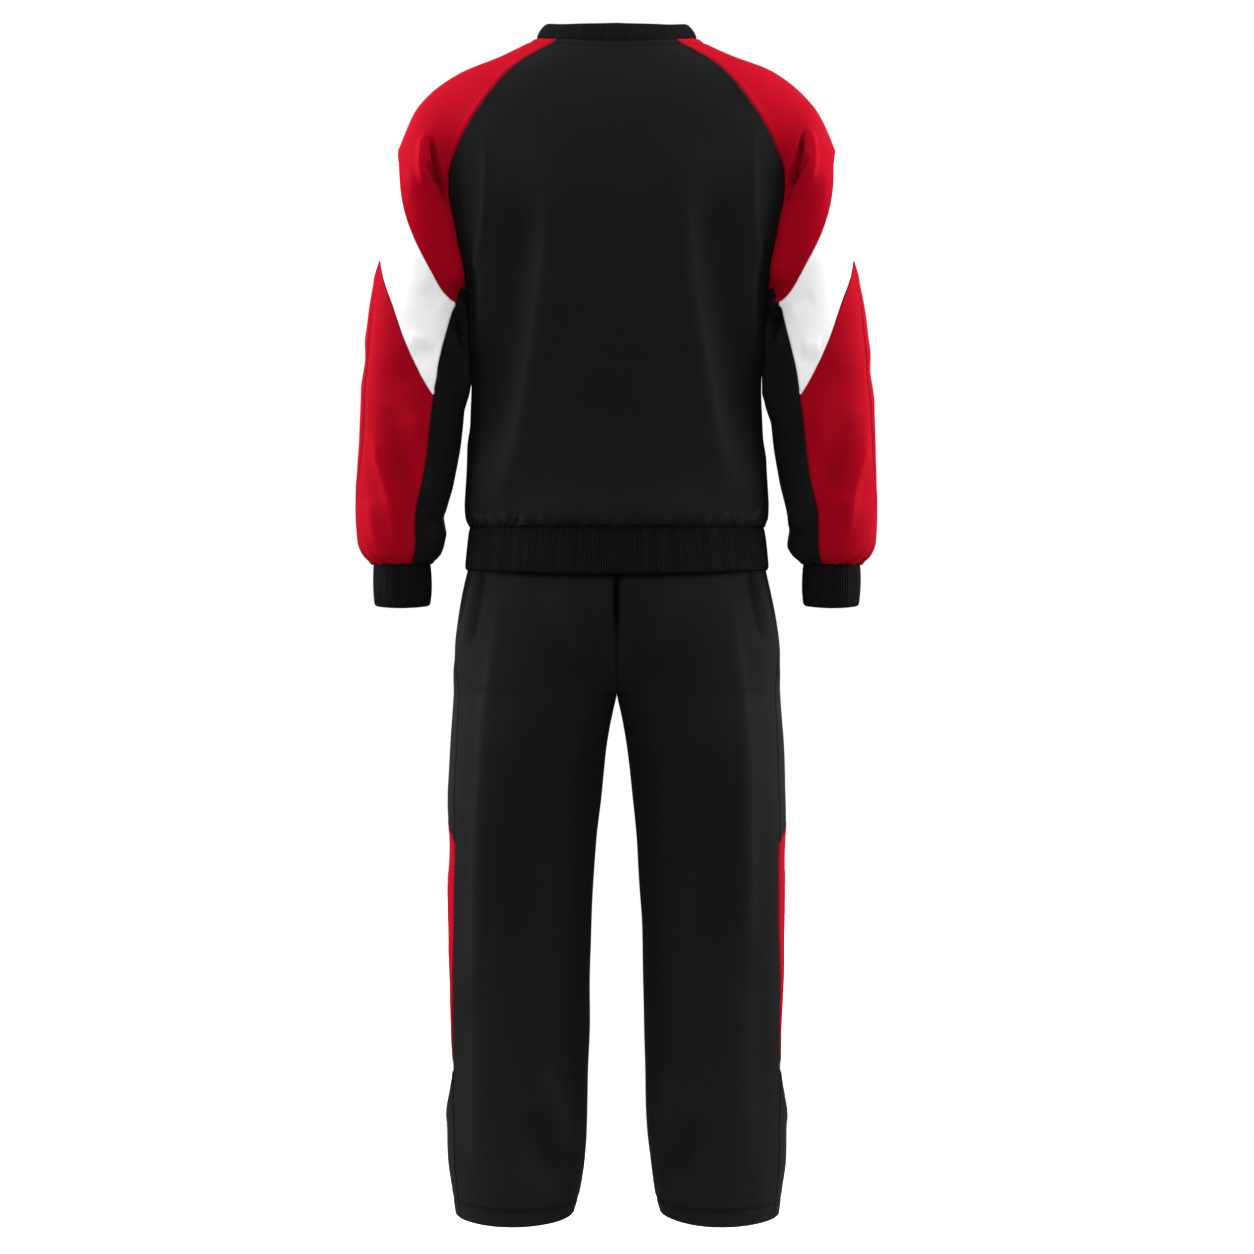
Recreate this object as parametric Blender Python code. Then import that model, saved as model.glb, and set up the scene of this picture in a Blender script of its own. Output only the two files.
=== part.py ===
"""Raglan sweatshirt over straight trousers, in the hollow form they keep when worn.

Metres, +Z up. The back of the suit faces +Y, the front faces -Y and the wearer's left is +X.
The origin is the middle of the neck opening, level with the collar seam at the side of the neck.
Every piece of cloth is one closed wall: an outer skin worked out from sections, and an inner skin
set in from it by the cloth's thickness. Neighbours share their seam line and stop just short of it.
"""

import bpy
import numpy as np

MM = 0.001

FLEECE = 2.0 * MM
RIB_KNIT = 2.4 * MM
TURNED_HEM = 3.6 * MM
SEAM_GAP = 0.3 * MM
RIB_RISE = 0.7 * MM

HEM_RIBS = 104
COLLAR_RIBS = 56
CUFF_RIBS = 28

PLAIN_COLUMNS = ("stage", "round", "share", "turn", "edge")
BACK = 1
FRONT = -1


def table(columns, *rows):
    """One array for each named column. Lengths are given in millimetres and kept in metres."""
    names = columns.split()
    data = np.array(rows, float)
    return {name: data[:, i] * (1.0 if name in PLAIN_COLUMNS else MM) for i, name in enumerate(names)}


# Level sections of the torso, from the neck down to the seam of the hem band.
TORSO = table(
    "level half_width side_y back_y front_y",
    (0, 112, -2, 66, -60),
    (-26, 163, -2, 80, -73),
    (-52, 205, -2, 92, -84),
    (-85, 226, -1, 104, -94),
    (-120, 236, -1, 113, -103),
    (-173, 239, 0, 121, -113),
    (-221, 226, 0, 125, -118),
    (-260, 214, 0, 126, -120),
    (-290, 205, 0, 126, -121),
    (-325, 197, 0, 126, -122),
    (-390, 193, 0, 124, -121),
    (-442, 192, 0, 121, -119),
    (-494, 193.5, 0, 119, -117),
    (-546, 196, 0, 118, -115),
    (-598, 198, 0, 117, -114),
    (-620, 196, 0, 115, -112),
    (-632, 190, 0, 109, -106),
)

# Hem band below it, from its seam to its free edge.
HEM_BAND = table(
    "stage level half_width side_y back_y front_y",
    (0.0, -632.3, 190, 0, 109, -106),
    (0.5, -660, 192.5, 0, 112, -108),
    (1.0, -689, 196.2, 0, 115.7, -110.7),
)

# Sleeve sections. Stages 0 to 1 run along the raglan seam from the neck to the underarm, and
# stages 1 to 2 are rings from the underarm to the cuff seam.
SLEEVE = table(
    "stage in_x in_z out_x out_z mid_y back_y front_y round",
    (0.00, 75, -8, 103, 1, -2, 72, -72, 0.0),
    (0.20, 126, -40, 150, -21, -4, 74, -74, 0.0),
    (0.40, 166, -85, 206, -44, -5, 80, -80, 0.06),
    (0.60, 204, -149, 256, -87, -4, 82, -82, 0.35),
    (0.70, 215, -184, 276, -127, -3, 80, -80, 0.58),
    (0.80, 212, -231, 291, -172, -2, 76, -78, 0.78),
    (1.00, 197, -325, 312, -295, 0, 71, -73, 1.0),
    (1.15, 198.5, -375, 322.5, -355, 0, 68, -69, 1.0),
    (1.35, 198.5, -446, 330, -432, 0, 65, -65, 1.0),
    (1.55, 204, -518, 335.5, -510, -3, 58, -64, 1.0),
    (1.70, 213, -571, 337.5, -567, -8, 50, -66, 1.0),
    (1.84, 224.5, -622, 340, -620, -14, 43, -71, 1.0),
    (1.92, 225, -650, 338.5, -650, -16, 39, -71, 1.0),
    (1.97, 230, -667, 332, -667, -17, 33, -67, 1.0),
    (2.00, 244, -679.7, 317, -679.7, -18, 18, -54, 1.0),
)

UNDERARM = SLEEVE["in_z"][SLEEVE["stage"] == 1.0].item()

CUFF = table(
    "stage in_x in_z out_x out_z mid_y back_y front_y round",
    (0.0, 244, -680, 317, -680, -18, 18, -54, 1.0),
    (0.6, 243.5, -712, 316.5, -712, -19, 18, -56, 1.0),
    (1.0, 244.5, -735, 315.5, -735, -20, 16, -56, 1.0),
)

# Trouser sections for one leg. Stages 0 to 1 run down the seat seam to the crotch, and stages 1
# to 2 are rings from the crotch to the hem. Share says how far the seam point stands out from the
# middle towards the crest of its section.
LEG = table(
    "stage in_x in_z out_x out_z mid_y back_y front_y share round",
    (0.00, 0, -622, 168, -622, 0, 98, -94, 1.00, 0.0),
    (0.20, 0, -689, 193.7, -689, 0, 113.4, -108.4, 1.00, 0.03),
    (0.45, 0, -753, 204, -754, 0, 115.5, -108.5, 0.99, 0.18),
    (0.65, 0, -800, 208, -793, 0, 113.5, -106, 0.93, 0.40),
    (0.80, 0, -832, 209, -817, 0, 111, -103.5, 0.72, 0.64),
    (0.92, 0, -846, 209.6, -836, 0, 108.5, -101, 0.36, 0.86),
    (1.00, 0, -850, 210, -850, 0, 106.5, -99, 0.0, 1.0),
    (1.04, 5.5, -876, 210.8, -876, 0, 104.5, -97.5, 0.0, 1.0),
    (1.10, 11.7, -912, 212.2, -912, 0, 101, -95, 0.0, 1.0),
    (1.20, 20.5, -982, 215.5, -982, 0, 95.5, -91.5, 0.0, 1.0),
    (1.35, 29.5, -1080, 219.3, -1080, 0, 88.5, -87, 0.0, 1.0),
    (1.50, 34, -1183, 221.5, -1183, 0, 83, -82, 0.0, 1.0),
    (1.70, 37.5, -1326, 223, -1326, 0, 77, -77, 0.0, 1.0),
    (1.83, 39.6, -1417, 219.7, -1417, 0, 76, -76, 0.0, 1.0),
    (1.94, 49, -1495, 210.6, -1495, 0, 75, -75, 0.0, 1.0),
    (2.00, 57, -1524, 206.5, -1524, 0, 74, -74, 0.0, 1.0),
)

# Neckline around the collar seam, by the turn in degrees from the middle of the back.
NECK_HALF_WIDTH = 103 * MM
NECK_MIDDLE_Y = -2 * MM
NECK_HALF_DEPTH = 73 * MM
NECK_SEAM_TURN = 46.7
NECKLINE = table(
    "turn level",
    (-40, -8),
    (0, -12),
    (40, -8),
    (90, 1),
    (133.3, -34),
    (158, -70),
    (180, -82),
    (202, -70),
)
COLLAR_HEIGHT = 24 * MM
COLLAR_LEAN = 9 * MM
NECK_REACH = 0.4

WAISTBAND_HEIGHT = 40 * MM
WAISTBAND_LEAN = 3 * MM
TURNED_HEM_TOP = -1498 * MM

# Seams on a sleeve. Edge runs from 0 on the outer line to 1 at the armhole or the inner line, and
# share from 0 on the outer seam to 1 on the seam of the under panel.
CORNER = 1.065
OUTER_SEAM = table(
    "stage edge",
    (0.0, 0.0),
    (0.5, 0.02),
    (0.74, 0.05),
    (1.0, 0.13),
    (1.4, 0.12),
    (2.0, 0.10),
)
UNDER_SEAM = table(
    "stage edge",
    (1.0, 0.87),
    (CORNER, 0.82),
    (1.41, 0.66),
    (2.0, 0.63),
)
BAND_TOP = table(
    "share stage",
    (0.0, 0.743),
    (0.22, 0.78),
    (0.42, 0.88),
    (0.62, 0.957),
    (0.85, 1.035),
    (1.0, CORNER),
)
BAND_LOW = table(
    "share stage",
    (0.0, 0.98),
    (0.3, 1.103),
    (0.55, 1.23),
    (0.85, 1.357),
    (1.0, 1.41),
)

# Side panel of a leg: half its share of the ring, and its three joins as level at the middle of
# the panel and level at its seams.
SIDE_PANEL = table(
    "stage edge",
    (0.0, 0.185),
    (0.45, 0.16),
    (1.0, 0.128),
    (1.35, 0.138),
    (1.7, 0.155),
    (2.0, 0.155),
)
SIDE_JOINS = table(
    "middle seam",
    (-1017, -1041),
    (-1085, -1325),
    (-1398, -1331),
)
JOIN_CURVE = 2.2

# Roundness of a level section, and how far a handle stands out to carry a curve to half a round.
FULLNESS = 0.6
HALF_ROUND = 4 / 3

# A sleeve leaves the raglan seam along the slope that the body has there, read over a short step.
SLOPE_STEP = 2 * MM
STEEPEST_FALL = 0.6

# Steps of the parameters over which a skin's slopes are read.
PROBE = 0.004

# Long soft folds down the back and the front: top point, foot point, half-width and rise.
BODY_FOLDS = table(
    "top_x top_z foot_x foot_z spread rise",
    (92, -190, 150, -590, 34, 6),
    (-94, -180, -144, -590, 34, 6),
    (178, -200, 174, -340, 16, 4),
    (-180, -200, -176, -340, 16, 4),
)

# Soft creases on a sleeve: their place round it and along it, their spread and rise, on a sleeve
# whose stages are about one length apart and whose half girth is about one width.
STAGE_LENGTH = 420 * MM
EDGE_WIDTH = 160 * MM
SLEEVE_FOLDS = table(
    "edge stage spread rise",
    (0.62, 0.72, 30, 7),
    (0.45, 1.36, 22, -4),
    (0.60, 1.50, 20, 4),
    (0.40, 1.80, 20, 4),
)

# Rows and columns of the pieces. Neighbours have theirs in common along their seam.
BODY_COLUMNS = 24
BODY_RISES = np.linspace(0, 1, 10)
CAP_STAGES = np.linspace(0, 1, 10)
SLEEVE_COLUMNS = 8
BAND_ROWS = 4
UNDER_COLUMNS = 6
LOWER_STAGES = np.array([0.0, 0.2, 0.42, 0.62, 0.78, 0.88, 0.95, 1.0])
SEAT_ROWS = 7
THIGH_ROWS = 3
LEG_COLUMNS = 8
HEM_SHARES = (0.0, 0.3, 0.6, 0.85, 1.0)
PANEL_PLACES = (-1.0, -0.78, -0.45, 0.0, 0.45, 0.78, 1.0)
SIDE_PIECES = (("top", "black"), ("red", "red"), ("white", "white"), ("bottom", "black"))
WAIST_COLUMNS = 48

COLOURS = {
    "black": (0.012, 0.012, 0.012, 1.0),
    "red": (0.56, 0.006, 0.02, 1.0),
    "white": (0.88, 0.88, 0.88, 1.0),
    "rib": (0.010, 0.010, 0.010, 1.0),
}


def follow(knots, values, at):
    """Smooth curve through a table's points. Its slopes are limited, so it never swings past them."""
    step = np.diff(knots)
    rise = np.diff(values) / step
    slope = np.zeros(len(knots))
    slope[0], slope[-1] = rise[0], rise[-1]
    for i in range(1, len(knots) - 1):
        if rise[i - 1] * rise[i] > 0:
            before, after = step[i] * 2 + step[i - 1], step[i] + step[i - 1] * 2
            slope[i] = (before + after) / (before / rise[i - 1] + after / rise[i])
    i = np.clip(np.searchsorted(knots, at, side="right") - 1, 0, len(step) - 1)
    t = np.clip((at - knots[i]) / step[i], 0, 1)
    start = values[i] * (1 + 2 * t) * (1 - t) ** 2 + slope[i] * step[i] * t * (1 - t) ** 2
    return start + values[i + 1] * t**2 * (3 - 2 * t) - slope[i + 1] * step[i] * t**2 * (1 - t)


def read(rows, column, at, along="stage"):
    """A table's column at any place along it."""
    knots, values = rows[along], rows[column]
    if knots[0] > knots[-1]:
        knots, values = knots[::-1], values[::-1]
    return follow(knots, values, np.asarray(at, float))


def ease(t):
    """Soft step from 0 to 1."""
    t = np.clip(t, 0, 1)
    return t * t * (3 - 2 * t)


def stack(x, y, z):
    """Points from their three coordinates."""
    return np.stack(np.broadcast_arrays(x, y, z), axis=-1)


def quarter(t):
    """Share of the half-width reached at t along a quarter section, from 0 in the middle to 1 at the side."""
    return 3 * (1 - t) ** 2 * t * FULLNESS + 3 * (1 - t) * t**2 + t**3


def quarter_turn(share):
    """The t at which a quarter section reaches a share of its half-width."""
    t = np.linspace(0, 1, 2001)
    return np.interp(share, quarter(t), t)


def level_section(rows, side, place, t, along="level"):
    """Point of a level section: t runs from the middle of the back or front to the side."""
    half = read(rows, "half_width", place, along)
    side_y = read(rows, "side_y", place, along)
    crest = read(rows, "back_y" if side == BACK else "front_y", place, along)
    level = read(rows, "level", place, along) if along != "level" else place
    return stack(half * quarter(t), side_y + (crest - side_y) * quarter(1 - t), level)


def neckline(turn):
    """Collar seam at a turn in degrees: 0 at the middle of the back, 180 at the middle of the front."""
    angle = np.radians(turn)
    folded = np.abs((np.asarray(turn) + 180) % 360 - 180)
    x = NECK_HALF_WIDTH * np.sin(angle)
    y = NECK_MIDDLE_Y + NECK_HALF_DEPTH * np.cos(angle)
    return stack(x, y, read(NECKLINE, "level", folded, "turn"))


def body_neck_turn(side, across):
    """Turn of the neckline at a place across the back or front panel."""
    turn = np.abs(across) * NECK_SEAM_TURN
    return turn if side == BACK else 180 - turn


def raglan_level(side, stage, across=1.0):
    """Level of the raglan seam, and of the panel's rows that end on it."""
    back_seam = read(SLEEVE, "in_z", stage)
    top = read(NECKLINE, "level", body_neck_turn(side, across), "turn")
    return UNDERARM + (back_seam - UNDERARM) * (top - UNDERARM) / (SLEEVE["in_z"][0] - UNDERARM)


def body_folds(side, point):
    """Soft folds that run down the panel, as a push away from the middle of the body."""
    x, z = point[..., 0], point[..., 2]
    push = np.zeros_like(x)
    for top_x, top_z, foot_x, foot_z, spread, rise in zip(*BODY_FOLDS.values()):
        run = np.clip((top_z - z) / (top_z - foot_z), 0, 1)
        centre = top_x + (foot_x - top_x) * run**1.3
        fade = ease((top_z + 0.06 - z) / 0.12) * ease((z - foot_z + 0.03) / 0.05)
        push += rise * fade * np.exp(-(((x - centre) / spread) ** 2))
    return push * side


def body_skin(side, rise, across):
    """Outer skin of the back or front panel.

    Rise runs from 0 at the hem band to 1 at the underarm and 2 at the neckline; across runs from
    -1 to 1 between the side seams or the raglan seams.
    """
    rise, across = np.broadcast_arrays(np.asarray(rise, float), np.asarray(across, float))
    reach = np.abs(across)
    stage = np.clip(2 - rise, 0, 1)
    hem = TORSO["level"][-1]
    below = hem + (UNDERARM - hem) * rise

    def plain(stage, level):
        seam_level = raglan_level(side, stage)
        half = read(TORSO, "half_width", seam_level, "level")
        seam_turn = quarter_turn(np.clip(read(SLEEVE, "in_x", stage) / half, 0, 1))
        return level_section(TORSO, side, level, reach * np.where(stage < 1, seam_turn, 1.0))

    point = plain(stage, np.where(rise < 1, below, raglan_level(side, stage, across)))
    at_neck = plain(np.zeros_like(stage), raglan_level(side, np.zeros_like(stage), across))
    pull = ease((rise - 2 + NECK_REACH) / NECK_REACH)[..., None]
    point = point + pull * (neckline(body_neck_turn(side, across)) - at_neck)
    point[..., 0] *= np.sign(across) + (across == 0)
    point[..., 1] += body_folds(side, point) * ease((1 - reach) / 0.12)
    return point


def sweep(start, end, crest_y, fall, roundness, t):
    """Curve across half a tube from its inner to its outer line.

    At roundness 0 it is a quarter section that leaves the start along the neighbour's slope, and
    at 1 it is half a ring that stands out to crest_y. All y values point away from the middle.
    """
    reach = end - start
    reach[..., 1] = 0
    flat = (1 - roundness) * FULLNESS
    out_start = reach * flat[..., None]
    lift = 1 - (1 - roundness) ** 3
    out_start[..., 1] = lift * HALF_ROUND * (crest_y - start[..., 1]) - flat * fall
    out_end = np.zeros_like(reach)
    out_end[..., 1] = roundness * HALF_ROUND * (crest_y - end[..., 1])
    out_end[..., 1] += flat * (start[..., 1] - fall - end[..., 1])
    t = t[..., None]
    near = start * (1 - t) ** 3 + (start + out_start) * 3 * (1 - t) ** 2 * t
    return near + (end + out_end) * 3 * (1 - t) * t**2 + end * t**3


def tube_side(rows, side, stage, edge, start=None, fall=0.0):
    """Half of a tube's skin on the back or the front, with y turned to point away from the middle."""
    flip = np.array([1, side, 1])
    middle = read(rows, "mid_y", stage)
    crest = read(rows, "back_y" if side == BACK else "front_y", stage)
    if start is None:
        share = read(rows, "share", stage) if "share" in rows else 0.0
        start = stack(read(rows, "in_x", stage), middle + share * (crest - middle), read(rows, "in_z", stage))
    end = stack(read(rows, "out_x", stage), middle, read(rows, "out_z", stage))
    bend = read(rows, "round", stage)
    return sweep(start * flip, end * flip, crest * side, fall, bend, 1 - np.abs(edge)) * flip


def torso_depth(side, point):
    """How far the torso's section stands out from the middle, at a point's place across and level."""
    half = read(TORSO, "half_width", point[..., 2], "level")
    turn = quarter_turn(np.clip(point[..., 0] / half, 0, 0.999))
    return level_section(TORSO, side, point[..., 2], turn)[..., 1] * side


def sleeve_half(side, stage, edge):
    """Back or front half of the left sleeve's skin. Edge is 0 on the outer seam and 1 inside."""
    cap = np.clip(stage, 0, 1)
    seam = body_skin(side, 2 - cap, np.ones_like(cap))
    ring = stack(read(SLEEVE, "in_x", stage), read(SLEEVE, "mid_y", stage), read(SLEEVE, "in_z", stage))
    start = np.where((stage < 1)[..., None], seam, ring)
    end = stack(read(SLEEVE, "out_x", stage), read(SLEEVE, "mid_y", stage), read(SLEEVE, "out_z", stage))
    span = np.hypot(end[..., 0] - start[..., 0], end[..., 2] - start[..., 2])
    step = start + (end - start) * (SLOPE_STEP / span)[..., None]
    drop = (torso_depth(side, start) - torso_depth(side, step)) / SLOPE_STEP * span
    fall = np.clip(drop, 0, STEEPEST_FALL * np.abs(start[..., 1] - end[..., 1]))
    return tube_side(SLEEVE, side, stage, edge, start, fall)


def sleeve_folds(stage, edge, point):
    """Soft creases across the sleeve at the back of the armpit, the elbow and above the cuff."""
    push = np.zeros_like(stage)
    for place, height, spread, rise in zip(*SLEEVE_FOLDS.values()):
        along, round_it = (stage - height) * STAGE_LENGTH, (np.abs(edge) - place) * EDGE_WIDTH
        push += rise * np.exp(-(along**2 + round_it**2) / spread**2)
    away = np.sign(point[..., 1] - read(SLEEVE, "mid_y", stage))
    return push * away * ease((1 - np.abs(edge)) / 0.15) * ease(np.abs(edge) / 0.15)


def sleeve_skin(stage, edge):
    """Outer skin of the left sleeve, from the neck to the cuff seam."""
    stage, edge = np.broadcast_arrays(np.asarray(stage, float), np.asarray(edge, float))
    halves = {}
    for side in (BACK, FRONT):
        point = sleeve_half(side, stage, edge)
        at_neck = sleeve_half(side, np.zeros_like(stage), edge)
        turn = 90 - side * np.abs(edge) * (90 - NECK_SEAM_TURN)
        pull = (1 - ease(stage / NECK_REACH))[..., None]
        halves[side] = point + pull * (neckline(turn) - at_neck)
    point = np.where((edge >= 0)[..., None], halves[BACK], halves[FRONT])
    point[..., 1] += sleeve_folds(stage, edge, point)
    return point


def cuff_skin(stage, edge):
    """Outer skin of the left cuff band."""
    stage, edge = np.broadcast_arrays(np.asarray(stage, float), np.asarray(edge, float))
    back, front = (tube_side(CUFF, side, stage, edge) for side in (BACK, FRONT))
    return np.where((edge >= 0)[..., None], back, front)


def leg_skin(stage, edge):
    """Outer skin of the left leg, from the waistband to the hem."""
    stage, edge = np.broadcast_arrays(np.asarray(stage, float), np.asarray(edge, float))
    back, front = (tube_side(LEG, side, stage, edge) for side in (BACK, FRONT))
    return np.where((edge >= 0)[..., None], back, front)


def around(turn):
    """Side, place across and side sign for a turn from 0 to 1 round the body, from the right side seam."""
    turn = np.asarray(turn, float) % 1
    return np.where(turn < 0.5, 4 * turn - 1, 3 - 4 * turn), turn < 0.5


def band_ring(rows, stage, turn):
    """Outer skin of a level band round the body."""
    across, on_back = around(turn)
    back, front = (level_section(rows, side, stage, np.abs(across), "stage") for side in (BACK, FRONT))
    point = np.where(on_back[..., None], back, front)
    point[..., 0] *= np.sign(across)
    return point


def hem_band_skin(stage, turn):
    """Outer skin of the hem band."""
    stage, turn = np.broadcast_arrays(np.asarray(stage, float), np.asarray(turn, float))
    return band_ring(HEM_BAND, stage, turn)


def waistband_skin(stage, turn):
    """Waistband: the top of the trousers carried on upwards and drawn in a little."""
    stage, turn = np.broadcast_arrays(np.asarray(stage, float), np.asarray(turn, float))
    across, on_back = around(turn)
    edge = (1 - np.abs(across)) * np.where(on_back, 1, -1)
    point = leg_skin(np.zeros_like(turn), edge)
    point[..., 0] *= np.sign(across)
    inward = point * [1, 1, 0] / np.linalg.norm(point[..., :2], axis=-1)[..., None]
    rise = SEAM_GAP + WAISTBAND_HEIGHT * stage
    return point + stack(0, 0, rise) - inward * (WAISTBAND_LEAN * stage)[..., None]


def collar_skin(stage, turn):
    """Collar band: it rises from the neckline and leans in towards the neck."""
    stage, turn = np.broadcast_arrays(np.asarray(stage, float), np.asarray(turn, float))
    base = neckline(turn * 360)
    centre = np.array([0, NECK_MIDDLE_Y, 0])
    inward = (centre - base) * [1, 1, 0]
    inward /= np.linalg.norm(inward, axis=-1)[..., None]
    lean = inward * (COLLAR_LEAN * stage**1.5)[..., None]
    return base + lean + stack(0, 0, SEAM_GAP + COLLAR_HEIGHT * stage)


def outward(skin, first, second, limits):
    """Unit normals of a skin, from its slopes both ways, turned to the side that it bulges to."""
    low, high = limits
    ahead = skin(np.minimum(first + PROBE, high), second)
    behind = skin(np.maximum(first - PROBE, low), second)
    slope = skin(first, second + PROBE) - skin(first, second - PROBE)
    normal = np.cross(ahead - behind, slope)
    normal /= np.linalg.norm(normal, axis=-1)[..., None]
    centre = (ahead + behind).reshape(-1, 3).mean(axis=0) / 2
    return normal * np.sign(np.sum((ahead - centre) * normal))


def drawn_in(edge, inner, normal, closed):
    """Half the seam gap, square to an edge of the cloth and towards its inside."""
    along = np.roll(edge, -1, axis=0) - np.roll(edge, 1, axis=0) if closed else np.gradient(edge, axis=0)
    across = np.cross(normal, along)
    across /= np.linalg.norm(across, axis=-1)[..., None]
    towards = np.sign(np.sum(across * (inner - edge), axis=-1))
    return across * towards[..., None] * SEAM_GAP / 2


def inset(points, normal, closed):
    """Draw the free edges of a grid of points in by half the seam gap."""
    out = points.copy()
    for edge, inner in ((0, 1), (-1, -2)):
        out[edge] += drawn_in(points[edge], points[inner], normal[edge], closed)
        if not closed:
            out[:, edge] += drawn_in(points[:, edge], points[:, inner], normal[:, edge], False)
    return out


def wall_mesh(name, outer, inner, closed):
    """Mesh of a cloth wall between two grids of points, cut into triangles the same way on both."""
    rows, columns = outer.shape[:2]
    points = np.concatenate([outer.reshape(-1, 3), inner.reshape(-1, 3)])
    number = np.arange(rows * columns).reshape(rows, columns)
    shift = rows * columns
    faces = []
    for i in range(rows - 1):
        for j in range(columns if closed else columns - 1):
            k = (j + 1) % columns
            a, b, c, d = number[i, j], number[i, k], number[i + 1, k], number[i + 1, j]
            one, other = np.linalg.norm(points[a] - points[c]), np.linalg.norm(points[b] - points[d])
            pair = ((a, b, c), (a, c, d)) if one <= other else ((a, b, d), (b, c, d))
            for p, q, r in pair:
                faces += [(p, q, r), (p + shift, r + shift, q + shift)]
    rims = [number[0], number[-1][::-1]]
    if closed:
        rims = [np.append(rim, rim[0]) for rim in rims]
    else:
        rims += [number[::-1, 0], number[:, -1]]
    for rim in rims:
        for p, q in zip(rim[:-1], rim[1:]):
            one = np.linalg.norm(points[q] - points[p + shift])
            other = np.linalg.norm(points[p] - points[q + shift])
            if one <= other:
                faces += [(q, p, p + shift), (q, p + shift, q + shift)]
            else:
                faces += [(q, p, q + shift), (p, p + shift, q + shift)]
    mesh = bpy.data.meshes.new(name)
    mesh.from_pydata(points.tolist(), [], [[int(v) for v in face] for face in faces])
    return mesh


def make_material(name):
    """Matt cloth in one of the suit's colours."""
    material = bpy.data.materials.new("fleece_" + name if name != "rib" else "rib_knit_black")
    material.use_nodes = True
    shader = material.node_tree.nodes["Principled BSDF"]
    shader.inputs["Base Color"].default_value = COLOURS[name]
    shader.inputs["Roughness"].default_value = 0.85
    shader.inputs["Metallic"].default_value = 0.0
    material.diffuse_color = COLOURS[name]
    return material


def add_wall(name, skin, first, second, colour, thickness=FLEECE, closed=False, relief=0.0, limits=(0, 2)):
    """Make one piece of cloth from a skin and two grids of its parameters.

    Thickness and relief are single values or grids; limits are the ends of the first parameter.
    """
    normal = outward(skin, first, second, limits)
    outer = inset(skin(first, second), normal, closed)
    inner = outer - normal * np.broadcast_to(thickness, first.shape)[..., None]
    outer = outer + normal * np.broadcast_to(relief, first.shape)[..., None]
    facing = np.cross(np.diff(outer, axis=1)[:-1], np.diff(outer, axis=0)[:, :-1])
    if np.sum(facing * normal[:-1, :-1]) < 0:
        outer, inner = outer[::-1], inner[::-1]
    mesh = wall_mesh(name, outer, inner, closed)
    mesh.materials.append(MATERIALS[colour])
    piece = bpy.data.objects.new(name, mesh)
    SUIT.objects.link(piece)
    return piece


def add_pair(name, skin, first, second, colour, **settings):
    """The same piece on the wearer's left and, mirrored, on the right."""

    def mirrored(first, second):
        return skin(first, second) * [-1, 1, 1]

    add_wall("left_" + name, skin, first, second, colour, **settings)
    add_wall("right_" + name, mirrored, first, second, colour, **settings)


def grid(first, second):
    """Two grids of parameters, the first down the rows and the second along them."""
    return [np.asarray(a, float) for a in np.meshgrid(first, second, indexing="ij")]


def even_turns(skin, count):
    """Turns that share a closed band's length out evenly."""
    fine = np.linspace(0, 1, 1441)
    ring = skin(np.zeros_like(fine), fine)
    length = np.concatenate([[0], np.cumsum(np.linalg.norm(np.diff(ring, axis=0), axis=1))])
    return np.interp(np.arange(count) / count * length[-1], length, fine)


def add_rib_band(add, name, skin, ribs, stages):
    """Closed band of rib knit with its ribs raised over a plain inside, added by a given maker."""
    first, second = grid(stages, even_turns(skin, ribs * 2))
    relief = np.where(np.arange(ribs * 2) % 2 == 0, RIB_RISE, 0.0)
    relief = np.tile(relief, (len(stages), 1))
    add(name, skin, first, second, "rib", thickness=RIB_KNIT, closed=True, relief=relief, limits=(0, 1))


def make_body():
    """Back and front panels, from the hem band to the collar."""
    rise = np.concatenate([BODY_RISES, 2 - CAP_STAGES[::-1][1:]])
    across = np.linspace(-1, 1, BODY_COLUMNS + 1)
    for name, side in (("back_body", BACK), ("front_body", FRONT)):

        def skin(first, second, side=side):
            return body_skin(side, first, second)

        add_wall(name, skin, *grid(rise, across), "black")


def across_sleeve(side, stage, share):
    """Edge on the sleeve at a share of the way from the outer seam to the seam of the under panel."""
    outer = read(OUTER_SEAM, "edge", stage)
    return outer + share * (side * read(UNDER_SEAM, "edge", np.maximum(stage, CORNER)) - outer)


def make_sleeves():
    """Upper panels, chevron bands and lower panels of both sleeves."""
    share = np.linspace(0, 1, SLEEVE_COLUMNS + 1)
    top, low = read(BAND_TOP, "stage", share, "share"), read(BAND_LOW, "stage", share, "share")
    down = np.linspace(0, 1, BAND_ROWS + 1)[:, None]
    for name, side in (("back", BACK), ("front", FRONT)):
        stage = CAP_STAGES[:, None] * np.append(top, [1.0, 1.0])
        armhole = np.tile([UNDER_SEAM["edge"][0], 1.0], (len(CAP_STAGES), 1)) * side
        edge = np.hstack([across_sleeve(side, stage[:, :-2], share), armhole])
        add_pair(f"sleeve_upper_{name}", sleeve_skin, stage, edge, "red")
        stage = top + (low - top) * down
        add_pair(f"sleeve_band_{name}", sleeve_skin, stage, across_sleeve(side, stage, share), "white")
        stage = low + (2 - low) * LOWER_STAGES[:, None]
        add_pair(f"sleeve_lower_{name}", sleeve_skin, stage, across_sleeve(side, stage, share), "red")


def under_panel_skin(stage, place):
    """Under panel of the left sleeve: place runs from -1 on the front seam to 1 on the back seam."""
    stage, place = np.broadcast_arrays(np.asarray(stage, float), np.asarray(place, float))
    edge = 1 - (1 - read(UNDER_SEAM, "edge", stage)) * np.abs(place)
    return sleeve_skin(stage, np.where(place >= 0, edge, -edge))


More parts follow.
